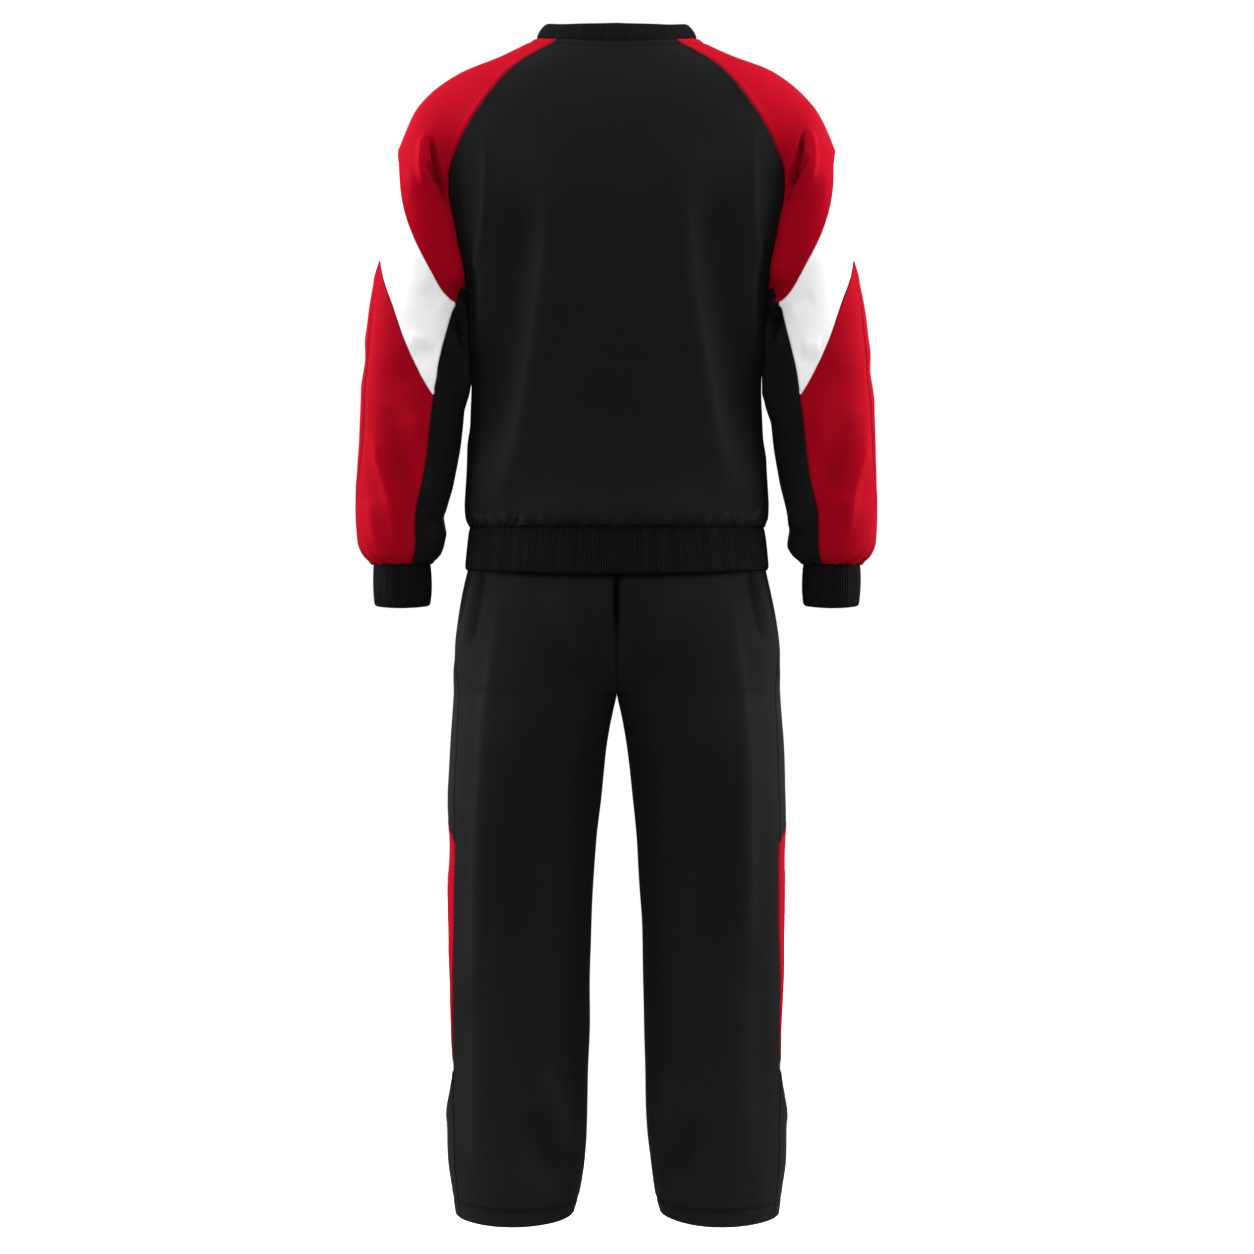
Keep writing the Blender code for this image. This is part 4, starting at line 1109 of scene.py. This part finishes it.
def soothed(point, strength):
    """Legs: the quick turn of their section at the crotch is evened out over the rows above and below."""
    depth = point[..., 1].copy()
    for _ in range(SOOTHING_PASSES if np.any(strength) else 0):
        depth[1:-1] += (depth[:-2] - 2 * depth[1:-1] + depth[2:]) / 4
    near = np.exp(-(((point[..., 2] - CROTCH_LEVEL) / SOOTHED_LENGTH) ** 2)) * strength
    return point + stack(0, (depth - point[..., 1]) * near, 0)


def creases(region, point, normal):
    """Push of a region's creases: each list holds where the cloth faces its way."""
    rows = REGIONS[region]
    x, y, z = np.moveaxis(point, -1, 0)
    outer = normal[..., 0] * np.sign(x)
    low = z + np.where(x < 0, UNEVEN, 0.0)
    push = crease_push(rows["back"], x, z) * ease(normal[..., 1] / FACING)
    push += crease_push(rows["front"], x, z) * ease(-normal[..., 1] / FACING)
    push += crease_push(rows["side"], y, low) * ease((outer - FACING) / FACING)
    return push + crease_push(rows["inner"], y, low) * ease((-outer - FACING_INWARD) / FACING)


def line_at(points, away, distance):
    """Points at a distance from an edge that runs along the rows, one in each column."""
    order = np.argsort(away[:, 0])
    lines = zip(away[order].T, points[order].transpose(1, 2, 0))
    return np.array([[np.interp(distance, run, values) for values in line] for run, line in lines])


def add_stitches(name, line, normal, finish):
    """Row of stitches along a line: closed spindles of thread, round in section and thin at the ends."""
    run = np.concatenate([[0], np.cumsum(np.linalg.norm(np.diff(line, axis=0), axis=1))])
    count = int(run[-1] / STITCH_PITCH)
    at = (np.arange(count) + 0.5) * run[-1] / count
    centre, up, ahead, behind = (
        np.stack([np.interp(place, run, column) for column in values.T], axis=1)
        for place, values in ((at, line), (at, normal), (at + 0.4 * MM, line), (at - 0.4 * MM, line))
    )
    along = ahead - behind
    along /= np.linalg.norm(along, axis=1)[:, None]
    across = np.cross(up, along)
    length = np.array([0.06, 0.28, 0.72, 0.94]) - 0.5
    thick = THREAD_RADIUS * np.array([0.55, 1.0, 1.0, 0.55])
    turn = np.arange(5) * 2 * math.pi / 5
    ring = np.cos(turn)[:, None, None] * up + np.sin(turn)[:, None, None] * across
    length, thick = length[:, None, None, None], thick[:, None, None, None]
    body = along[None, None] * length * STITCH_PITCH + ring[None] * thick
    points = (centre + up * THREAD_LIFT * MM + body).transpose(2, 0, 1, 3)
    number = np.arange(points[..., 0].size).reshape(count, 4, 5)
    rolled = np.roll(number, -1, axis=2)
    around_it = number[:, :-1], rolled[:, :-1], rolled[:, 1:], number[:, 1:]
    sides = np.stack(around_it, axis=-1).reshape(-1, 4)
    caps = np.concatenate([number[:, 0, ::-1], number[:, -1]])
    if np.linalg.det(np.stack([up[0], across[0], along[0]])) < 0:
        sides, caps = sides[:, ::-1], caps[:, ::-1]
    mesh = add_mesh(name, points.reshape(-1, 3), [sides, caps])
    mesh.materials.append(MATERIALS[finish])
    piece = put(name, mesh)
    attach(piece, "root")


def cut_size(points, closed):
    """Flat cut of a panel: its width level across, its length down, and its area."""
    ring = np.concatenate([points, points[:, :1]], axis=1) if closed else points
    width = np.linalg.norm(np.diff(ring[..., :2], axis=1), axis=-1).sum(axis=1).max()
    length = np.linalg.norm(np.diff(ring, axis=0), axis=-1).sum(axis=0).max()
    if not closed:
        length = max(length, np.ptp(ring[..., 2]))
    spans = np.cross(ring[1:, 1:] - ring[:-1, :-1], ring[1:, :-1] - ring[:-1, 1:])
    return float(width), float(length), float(np.linalg.norm(spans, axis=-1).sum() / 2)


def add_cloth(node, finish, skin, first, second, region, sewn, **own):
    """Panel of cloth on its solid's form, with its creases, gathers and seams, in place of its node."""
    thick = own.get("thickness", FLEECE)
    point = skin(first, second)
    normal = outward(skin, first, second, own.get("limits", (0, 2)))
    away = dict(zip(EDGES, (*runs(point, 0), *runs(point, 1))))
    sides = np.minimum(away["start"], away["end"])
    point = soothed(point, own.get("soothe", 0.0))
    steady = seam_distance(point)
    fold = creases(region, point, normal) * ease(steady / CREASE_REACH)
    form = fold + drift(point) * ease(steady / DRIFT_REACH)
    for edge, settings in own.get("gathered", {}).items():
        strength = ease(sides / (10 * MM))
        form = form + gathers(away["start"], away[edge], strength=strength, **settings)
    stitch = own.get("stitch", ())
    profile, groove = np.zeros_like(form), np.zeros_like(form)
    for edge in EDGES:
        if edge in sewn:
            rise, dip = seam_push(away[edge])
            depth = (0.3 + 0.7 * ease(steady / CREASE_REACH)) * own.get("depths", {}).get(edge, 1)
            profile += np.where(rise > 0, rise, rise * depth)
            groove = np.maximum(groove, dip)
        else:
            half = np.broadcast_to(thick, form.shape) / 2
            profile -= half - np.sqrt(np.maximum(half**2 - np.clip(half - away[edge], 0, half) ** 2, 0))
    for edge, distance in stitch:
        dip = np.exp(-(((away[edge] - distance) / STITCH_SPREAD) ** 2))
        profile -= STITCH_SINK * dip
        groove = np.maximum(groove, STITCH_PAINTED_SHADE * dip)
    base = lapped(point, normal, False)
    outer = base + normal * (form + profile)[..., None]
    inner = base + normal * (form - thick)[..., None]
    uv = np.stack([away["start"] - (away["start"] + away["end"]) / 2, -away["first"]], axis=-1)
    # Painted highlight on ridges, painted shade in troughs and slits, and painted shade in seams and
    # stitches.
    masks = {"crest": np.clip(fold / CREST_HEIGHT, -2.5, 1), "groove": groove}
    piece = add_shell(node + "_cloth", node, outer, inner, uv, masks, finish, False)
    for k, (edge, distance) in enumerate(stitch):
        line, up = (line_at(values, away[edge], distance) for values in (outer, normal))
        add_stitches(f"{node}_stitches_{k + 1}", line[1:-1], up[1:-1], finish)
    width, length, area = cut_size(base, False)


def add_band(node, finish, point, base, walls, down, masks):
    """Closed band from its outer and inner walls, with its pattern laid out along it."""
    along = np.linalg.norm(np.diff(point[0], axis=0), axis=-1).mean() * np.arange(point.shape[1])
    uv = np.stack([np.broadcast_to(along, down.shape), -down], axis=-1)
    piece = add_shell(node + "_cloth", node, *walls, uv, masks, finish, True)
    width, length, area = cut_size(base, True)


def add_rib(node, skin, ribs, roll):
    """Closed band of rib knit: round ribs with narrow valleys, sewn at its start and folded at its end."""
    turn = even_turns(skin, ribs * RIB_POINTS)
    place = spaced(np.linalg.norm(skin(1.0, 0.0) - skin(0.0, 0.0)), RIB_SPACING)
    first, second = grid(place, turn)
    point = skin(first, second)
    normal = outward(skin, first, second, (0, 1))
    down, up = runs(point, 0)
    phase = np.arange(ribs * RIB_POINTS) / RIB_POINTS
    change = np.sin(2 * math.pi * np.floor(phase + 0.5) / 5.3 + 2 * np.sin(phase / 3.7))
    deep = RIB_DEPTH + RIB_DEPTH_CHANGE * change
    rib = 1 - deep * (1 - np.abs(np.sin(math.pi * phase)))
    rib = rib * (0.6 + 0.4 * ease(down / (4 * MM))) * (0.5 + 0.5 * ease(up / (4 * MM)))
    swell = RIB_SWELL * np.sin(math.pi * np.clip(down / (down + up), 0, 1))
    wave = np.sin(2 * math.pi * phase / 9.3 + 1.3 * np.sin(phase / 4.7))
    uneven = RIB_WAVE * wave * ease(up / (6 * MM))
    form = drift(point) * ease(seam_distance(point) / DRIFT_REACH) * 0.6 + swell + uneven
    groove = seam_push(down)[1]
    half = RIB_KNIT / 2
    fold = half - np.sqrt(np.maximum(half**2 - np.clip(half - up, 0, half) ** 2, 0))
    form = form - roll * (1 - np.sqrt(1 - np.clip(1 - up / END_ROLL_LENGTH, 0, 1) ** 2))
    base = lapped(point, normal, True)
    outer = base + normal * (form + RIB_STAND * rib - fold)[..., None]
    inner = base + normal * (form - RIB_KNIT + fold)[..., None]
    # Painted highlight on the ribs, painted shade in their valleys and in the seam groove.
    masks = {"crest": rib * RIB_PAINTED_CONTRAST - RIB_PAINTED_SHADE, "groove": groove}
    add_band(node, "black_rib", point, base, (outer, inner), down, masks)


def mirrored(skin, sign):
    """The left piece's skin, or the same one turned over for the right."""
    return lambda first, second: skin(first, second) * [sign, 1, 1]


def hung(skin, centre, half_width, sag):
    """Band whose free edge hangs lower in the middle of its back and front than at its sides."""

    def lowered(stage, turn):
        point = skin(stage, turn)
        middle = np.clip(1 - ((point[..., 0] - centre) / half_width) ** 2, 0, 1)
        return point - stack(0, 0, sag * (middle - SAG_LEVEL) * stage)

    return lowered


def make_body():
    """Back and front panels, from the hem band to the collar."""
    rows, columns = spaced(BODY_LENGTH, BODY_SPACING, NECK_ROWS), spaced(BODY_WIDTH, BODY_SPACING)
    first, second = grid(2 * rows, 2 * columns - 1)
    for node, side in (("back_body", BACK), ("front_body", FRONT)):

        def skin(rise, across, side=side):
            return body_skin(side, rise, across)

        add_cloth(node, "black_fleece", skin, first, second, "body", EDGES, gathered={"first": HEM_GATHER},
                  stitch=(("last", NECK_STITCH),), rests_on=["collar", "hem_band"])


def upper_grid(side):
    """Rows and columns of an upper sleeve panel, whose foot follows band, under panel and armhole."""
    place = spaced(UPPER_WIDTH, FINE_SPACING)
    spans = zip(FOOT_KNOTS, FOOT_KNOTS[1:])
    share, corner, armhole = (np.clip((place - a) / (b - a), 0, 1) for a, b in spans)
    along_under = CORNER + (1 - CORNER) * corner
    foot = np.where(place < FOOT_KNOTS[1], read(BAND_TOP, "stage", share, "share"), along_under)
    seam = read(UNDER_SEAM, "edge", foot)
    stage = spaced(UPPER_LENGTH, FINE_SPACING, NECK_ROWS)[:, None] * foot
    past_seam = side * (seam + (1 - seam) * armhole)
    edge = np.where(place < FOOT_KNOTS[1], across_sleeve(side, stage, share), past_seam)
    return stage, edge


def make_sleeves():
    """Upper panels, chevron bands, lower panels and under panels of both sleeves."""
    share = spaced(HALF_WIDTH)
    top, low = (read(rows, "stage", share, "share") for rows in (BAND_TOP, BAND_LOW))
    for hand, sign in (("left", 1), ("right", -1)):
        skin = mirrored(sleeve_skin, sign)
        region = hand + "_sleeve"
        for name, side in (("back", BACK), ("front", FRONT)):
            stage, edge = upper_grid(side)
            node = f"{region}_upper_{name}"
            add_cloth(node, "red_fleece", skin, stage, edge, region, EDGES,
                      stitch=(("first", NECK_STITCH),), rests_on=["collar", f"{name}_body"])
            node = f"{region}_band_{name}"
            stage = top + (low - top) * spaced(BAND_LENGTH)[:, None]
            add_cloth(node, "white_fleece", skin, stage, across_sleeve(side, stage, share), region, EDGES,
                      rests_on=[f"{region}_upper_{name}"])
            node = f"{region}_lower_{name}"
            stage = low + (2 - low) * spaced(LOWER_LENGTH)[:, None]
            add_cloth(node, "red_fleece", skin, stage, across_sleeve(side, stage, share), region, EDGES,
                      gathered={"last": CUFF_GATHER}, rests_on=[f"{region}_band_{name}"])
        stage, place = grid(1 + spaced(UNDER_LENGTH), 2 * spaced(UNDER_WIDTH) - 1)
        add_cloth(region + "_under", "black_fleece", mirrored(under_panel_skin, sign), stage, place,
                  region, EDGES, limits=(1, 2), gathered={"last": CUFF_GATHER},
                  rests_on=[f"{region}_upper_back"])


def hemmed(skin):
    """Leg whose hem hangs lower in the middle of its back and front, and spreads a little at its side."""

    def lowered(stage, place):
        point = skin(stage, place)
        inside, outside = LEG["in_x"][-1], LEG["out_x"][-1]
        share = np.clip((point[..., 0] - inside) / (outside - inside), 0, 1)
        near = ease((HEM_HANGS[0] - point[..., 2]) / (HEM_HANGS[0] - HEM_HANGS[1]))
        return point + stack(LEG_SPREAD * share**2 * near, 0, -LEG_SAG * 4 * share * (1 - share) * near)

    return lowered


def make_legs():
    """Back and front of each leg, and the four pieces of the panel down its side."""
    place = 2 * spaced(HALF_WIDTH) - 1
    waist, hem = LEG["out_z"][0], LEG["out_z"][-1]
    levels = [np.full_like(place, waist), *side_joins(place), np.full_like(place, hem)]
    hemmed_edges = ("first", "start", "end")
    for hand, sign in (("left", 1), ("right", -1)):
        for k, (name, finish, length) in enumerate(SIDE_PIECES):
            rows = spaced(length, SPACING, HEM_ROWS)[:, None]
            level = levels[k] + (levels[k + 1] - levels[k]) * rows
            last = name == "bottom"
            above = f"{hand}_leg_side_{SIDE_PIECES[k - 1][0]}" if k else "waistband"
            add_cloth(f"{hand}_leg_side_{name}", finish, mirrored(hemmed(side_panel_skin), sign),
                      leg_stage(level), np.tile(place, (len(level), 1)), "leg",
                      hemmed_edges if last else EDGES, thickness=hem_thickness(level),
                      stitch=HEM_STITCHES if last else (), gathered={} if k else {"first": WAIST_GATHER},
                      soothe=0.0 if k else 1.0, rests_on=[above])
        for name, side in (("back", BACK), ("front", FRONT)):
            rows = waist + (hem - waist) * spaced(LEG_LENGTH, SPACING, HEM_ROWS)
            level, across = grid(rows, spaced(LEG_WIDTH))
            stage = leg_stage(level)
            seam = read(SIDE_PANEL, "edge", stage)
            above = level - CROTCH_LEVEL
            depth = np.where(above > 0, 2, 1) * ease((np.abs(above) - CROTCH_CLOSED) / CROTCH_CLOSED)
            add_cloth(f"{hand}_leg_{name}", "black_fleece", mirrored(hemmed(leg_skin), sign), stage,
                      (seam + (1 - seam) * across) * side, "leg", hemmed_edges,
                      thickness=hem_thickness(level), stitch=HEM_STITCHES,
                      gathered={"first": WAIST_GATHER}, soothe=ease((1 - across) / SOOTHED_SHARE),
                      depths={"end": depth}, rests_on=["waistband"])


def laid_collar(stage, turn):
    """Collar that laps the neck seam at the back, and rises less and leans in more towards the sides."""
    point = collar_skin(stage, turn)
    side = np.abs(np.sin(2 * math.pi * np.asarray(turn)))
    inward = [0, NECK_MIDDLE_Y, 0] - neckline(np.asarray(turn) * 360)
    inward[..., 2] = 0
    inward /= np.linalg.norm(inward, axis=-1)[..., None]
    foot = (1 - np.asarray(stage)) ** 2 * (1 - side**2)
    lean = COLLAR_SIDE_LEAN * side**4 * stage - COLLAR_FOOT_OUT * foot
    drop = (COLLAR_BACK_DROP + COLLAR_SIDE_DROP * side) * stage + COLLAR_FOOT_DROP * foot
    return point + inward * lean[..., None] - stack(0, 0, drop)


def make_bands():
    """Collar, hem band and cuffs in rib knit, and the elastic waistband under the sweatshirt."""
    add_rib("collar", laid_collar, COLLAR_RIBS, 0.2 * END_ROLL)
    hem_band = hung(hem_band_skin, 0, HEM_BAND["half_width"][0], HEM_SAG)
    add_rib("hem_band", hem_band, HEM_RIBS, END_ROLL)
    for hand, sign in (("left", 1), ("right", -1)):
        inside, outside = CUFF["in_x"][0], CUFF["out_x"][0]
        cuff = hung(cuff_ring, (inside + outside) / 2, (outside - inside) / 2, CUFF_SAG)
        add_rib(hand + "_cuff", mirrored(cuff, sign), CUFF_RIBS, 1.4 * END_ROLL)
    turns = even_turns(waistband_skin, WAIST_GATHERS * RIB_POINTS)
    place, turn = grid(spaced(WAISTBAND_HEIGHT, WAIST_SPACING), turns)
    point = waistband_skin(place, turn)
    normal = outward(waistband_skin, place, turn, (0, 1))
    down, up = runs(point, 0)
    wave = np.sin(np.arange(turn.shape[1]) * math.pi / 4 + 0.8 * np.sin(np.arange(turn.shape[1]) / 21))
    form = WAIST_GATHER["depth"] * wave * np.sin(math.pi * np.clip(down / (down + up), 0, 1)) ** 0.5
    rise, groove = seam_push(down)
    base = lapped(point, normal, True)
    outer = base + normal * (form + np.minimum(rise, 0))[..., None]
    inner = base + normal * (form - FLEECE)[..., None]
    # Painted highlight and painted shade that follow the gathers, and painted shade in the seam groove.
    masks = {"crest": np.broadcast_to(wave * WAIST_PAINTED_SHADE, down.shape), "groove": groove}
    add_band("waistband", "black_fleece", point, base, (outer, inner), down, masks)


def math_node(tree, kind, first, second=0.0, clamp=False):
    """Math node fed with sockets or plain numbers; gives its output."""
    node = tree.nodes.new("ShaderNodeMath")
    node.operation = kind
    node.use_clamp = clamp
    for socket, value in zip(node.inputs, (first, second)):
        if isinstance(value, bpy.types.NodeSocket):
            tree.links.new(value, socket)
        else:
            socket.default_value = value
    return node.outputs[0]


def new_group(name, inputs, outputs):
    """Shader node group with named sockets; gives the group, its inputs and its outputs."""
    group = bpy.data.node_groups.new(name, "ShaderNodeTree")
    for label, kind in inputs:
        group.interface.new_socket(label, in_out="INPUT", socket_type="NodeSocket" + kind)
    for label in outputs:
        group.interface.new_socket(label, in_out="OUTPUT", socket_type="NodeSocketFloat")
    return group, group.nodes.new("NodeGroupInput").outputs, group.nodes.new("NodeGroupOutput").inputs


def make_knit_face():
    """Jersey face: in each wale two rows of slanted loops lean together, like stacked V's."""
    group, given, result = new_group("Knit face", [("Place", "Vector")], ["Height"])
    parts = group.nodes.new("ShaderNodeSeparateXYZ")
    group.links.new(given["Place"], parts.inputs[0])
    wale = math_node(group, "FRACT", math_node(group, "DIVIDE", parts.outputs[0], WALE))
    across = math_node(group, "SUBTRACT", math_node(group, "MULTIPLY", wale, 2.0), 1.0)
    leg = math_node(group, "ABSOLUTE", across)
    course = math_node(group, "DIVIDE", parts.outputs[1], COURSE)
    lean = math_node(group, "MULTIPLY", leg, LOOP_LEAN)
    slant = math_node(group, "FRACT", math_node(group, "ADD", course, lean))
    loop = math_node(group, "SINE", math_node(group, "MULTIPLY", slant, math.pi))
    width = math_node(group, "SINE", math_node(group, "MULTIPLY", leg, math.pi))
    height = math_node(group, "MULTIPLY", loop, math_node(group, "POWER", width, LOOP_ROUND))
    group.links.new(height, result["Height"])
    return group


def make_fleece_nap():
    """Soft nap: fine fibres over slow mottling, both from noise in the piece's own coordinates."""
    group, given, result = new_group("Fleece nap", [("Position", "Vector")], ["Height", "Mottle"])
    for label, scale, detail in NAP_NOISE:
        noise = group.nodes.new("ShaderNodeTexNoise")
        noise.inputs["Scale"].default_value = scale
        noise.inputs["Detail"].default_value = detail
        noise.inputs["Roughness"].default_value = 0.6
        group.links.new(given["Position"], noise.inputs["Vector"])
        group.links.new(noise.outputs["Fac"], result[label])
    return group


def make_painted_shade():
    """Painted highlight on crests, painted shade in troughs and grooves, and tone mottled a little."""
    names = ("Crest", "Groove", "Mottle", "Crest strength", "Groove strength")
    group, given, result = new_group("Cloth painted shade", [(name, "Float") for name in names], ["Shade"])
    crest = math_node(group, "MULTIPLY", given["Crest"], given["Crest strength"])
    groove = math_node(group, "MULTIPLY", given["Groove"], given["Groove strength"])
    mottle = math_node(group, "MULTIPLY", given["Mottle"], MOTTLE)
    mottle = math_node(group, "ADD", mottle, 1.0 - MOTTLE / 2)
    lit = math_node(group, "MAXIMUM", math_node(group, "ADD", crest, 1.0), DARKEST_PAINTED_SHADE)
    dark = math_node(group, "SUBTRACT", 1.0, groove)
    both = math_node(group, "MULTIPLY", lit, dark)
    group.links.new(math_node(group, "MULTIPLY", both, mottle), result["Shade"])
    return group


def use_group(tree, group, **values):
    """Place a node group in a material with its own values; sockets given are linked."""
    node = tree.nodes.new("ShaderNodeGroup")
    node.node_tree = group
    for label, value in values.items():
        socket = node.inputs[label.replace("_", " ")]
        if isinstance(value, bpy.types.NodeSocket):
            tree.links.new(value, socket)
        else:
            socket.default_value = value
    return node.outputs


def attribute(tree, name):
    """A piece's own attribute as a number."""
    node = tree.nodes.new("ShaderNodeAttribute")
    node.attribute_name = name
    return node.outputs["Fac"]


def raised(tree, height, size, normal=None):
    """Bump node of a height and strength, over another normal if one is given."""
    bump = tree.nodes.new("ShaderNodeBump")
    bump.inputs["Distance"].default_value, bump.inputs["Strength"].default_value = size
    tree.links.new(height, bump.inputs["Height"])
    if normal is not None:
        tree.links.new(normal, bump.inputs["Normal"])
    return bump.outputs[0]


def make_finish(name, knit_face, nap, shade):
    """Cloth of one colour: knit loops under a soft nap, with painted highlight on crests and painted shade
    in grooves.
    """
    look = FINISHES[name]
    material = bpy.data.materials.new(name)
    material.use_nodes = True
    tree = material.node_tree
    skin = tree.nodes["Principled BSDF"]
    place = tree.nodes.new("ShaderNodeTexCoord")
    fibres = use_group(tree, nap, Position=place.outputs["Object"])
    loops = use_group(tree, knit_face, Place=place.outputs["UV"])
    tone = use_group(tree, shade, Crest=attribute(tree, "crest"), Groove=attribute(tree, "groove"),
                     Mottle=fibres["Mottle"], Crest_strength=look["crest"], Groove_strength=look["groove"])
    # Colour scaled by the painted highlight and painted shade, and by random mottling.
    shaded_colour = tree.nodes.new("ShaderNodeVectorMath")
    shaded_colour.operation = "SCALE"
    shaded_colour.inputs[0].default_value = look["colour"]
    tree.links.new(tone["Shade"], shaded_colour.inputs["Scale"])
    tree.links.new(shaded_colour.outputs[0], skin.inputs["Base Color"])
    normal = raised(tree, fibres["Height"], NAP_BUMP)
    normal = raised(tree, loops["Height"], LOOP_BUMP, normal)
    tree.links.new(normal, skin.inputs["Normal"])
    skin.inputs["Roughness"].default_value = ROUGH
    skin.inputs["Specular IOR Level"].default_value = look["gloss"]
    return material


def aim(thing, target):
    """Turn a light to face a point."""
    thing.rotation_euler = (Vector(target) - thing.location).to_track_quat("-Z", "Y").to_euler()


def make_lights():
    """Soft walls at both sides of the suit, boxes above, behind and before it, and a white surround."""
    for name, place, size, watts in LIGHTS:
        lamp = bpy.data.lights.new(name, "AREA")
        lamp.shape = "RECTANGLE"
        lamp.size, lamp.size_y = size
        lamp.energy = watts
        box = put(name, lamp)
        box.location = place
        aim(box, SUIT_MIDDLE)
    world = bpy.data.worlds.new("surround")
    bpy.context.scene.world = world
    world.use_nodes = True
    tree = world.node_tree
    seen = tree.nodes.new("ShaderNodeLightPath").outputs["Is Camera Ray"]
    strength = math_node(tree, "ADD", math_node(tree, "MULTIPLY", seen, 1.0 - SURROUND), SURROUND)
    tree.nodes["Background"].inputs["Color"].default_value = (1, 1, 1, 1)
    tree.links.new(strength, tree.nodes["Background"].inputs["Strength"])


def make_floor():
    """Pale round floor under the suit that fades out into the surround."""
    turn = np.linspace(0, 2 * math.pi, FLOOR_SPOKES + 1)[:-1]
    radius = np.linspace(*FLOOR_REACH, FLOOR_RINGS)[:, None]
    points = stack(radius * np.cos(turn), radius * np.sin(turn), FLOOR_LEVEL).reshape(-1, 3)
    number = np.arange(len(points)).reshape(FLOOR_RINGS, FLOOR_SPOKES)
    mesh = add_mesh("floor", points, [quads(wrapped(number, True))[:, ::-1], number[:1]])
    material = bpy.data.materials.new("floor")
    material.use_nodes = True
    tree = material.node_tree
    place = tree.nodes.new("ShaderNodeTexCoord")
    length = tree.nodes.new("ShaderNodeVectorMath")
    length.operation = "LENGTH"
    tree.links.new(place.outputs["Object"], length.inputs[0])
    fade = tree.nodes.new("ShaderNodeMapRange")
    fade.interpolation_type = "SMOOTHERSTEP"
    fade.inputs["From Min"].default_value, fade.inputs["From Max"].default_value = FLOOR_FADE
    fade.inputs["To Min"].default_value, fade.inputs["To Max"].default_value = 1.0, 0.0
    tree.links.new(length.outputs["Value"], fade.inputs["Value"])
    skin = tree.nodes["Principled BSDF"]
    skin.inputs["Base Color"].default_value = (FLOOR_TONE, FLOOR_TONE, FLOOR_TONE, 1)
    skin.inputs["Roughness"].default_value = ROUGH
    skin.inputs["Emission Color"].default_value = (1, 1, 1, 1)
    seen = tree.nodes.new("ShaderNodeLightPath").outputs["Is Camera Ray"]
    tree.links.new(math_node(tree, "MULTIPLY", seen, FLOOR_GLOW), skin.inputs["Emission Strength"])
    tree.links.new(fade.outputs[0], skin.inputs["Alpha"])
    mesh.materials.append(material)
    put("floor", mesh)


def make_camera():
    """Camera behind the suit, a little above its middle and tipped down."""
    camera = put("camera", bpy.data.cameras.new("camera"))
    camera.location = CAMERA_PLACE
    camera.rotation_euler = (math.radians(90 - CAMERA_TIP), 0, math.radians(180))
    camera.data.lens = CAMERA_LENS
    camera.data.sensor_width = SENSOR_WIDTH
    bpy.context.scene.camera = camera


ANGLED_SEAMS = angled_seams()
make_camera()
KNIT_FACE, FLEECE_NAP, CLOTH_SHADE = make_knit_face(), make_fleece_nap(), make_painted_shade()
MATERIALS = {name: make_finish(name, KNIT_FACE, FLEECE_NAP, CLOTH_SHADE) for name in FINISHES}
make_body()
make_sleeves()
make_legs()
make_bands()
make_floor()
make_lights()
bpy.context.scene.view_settings.view_transform = "Standard"
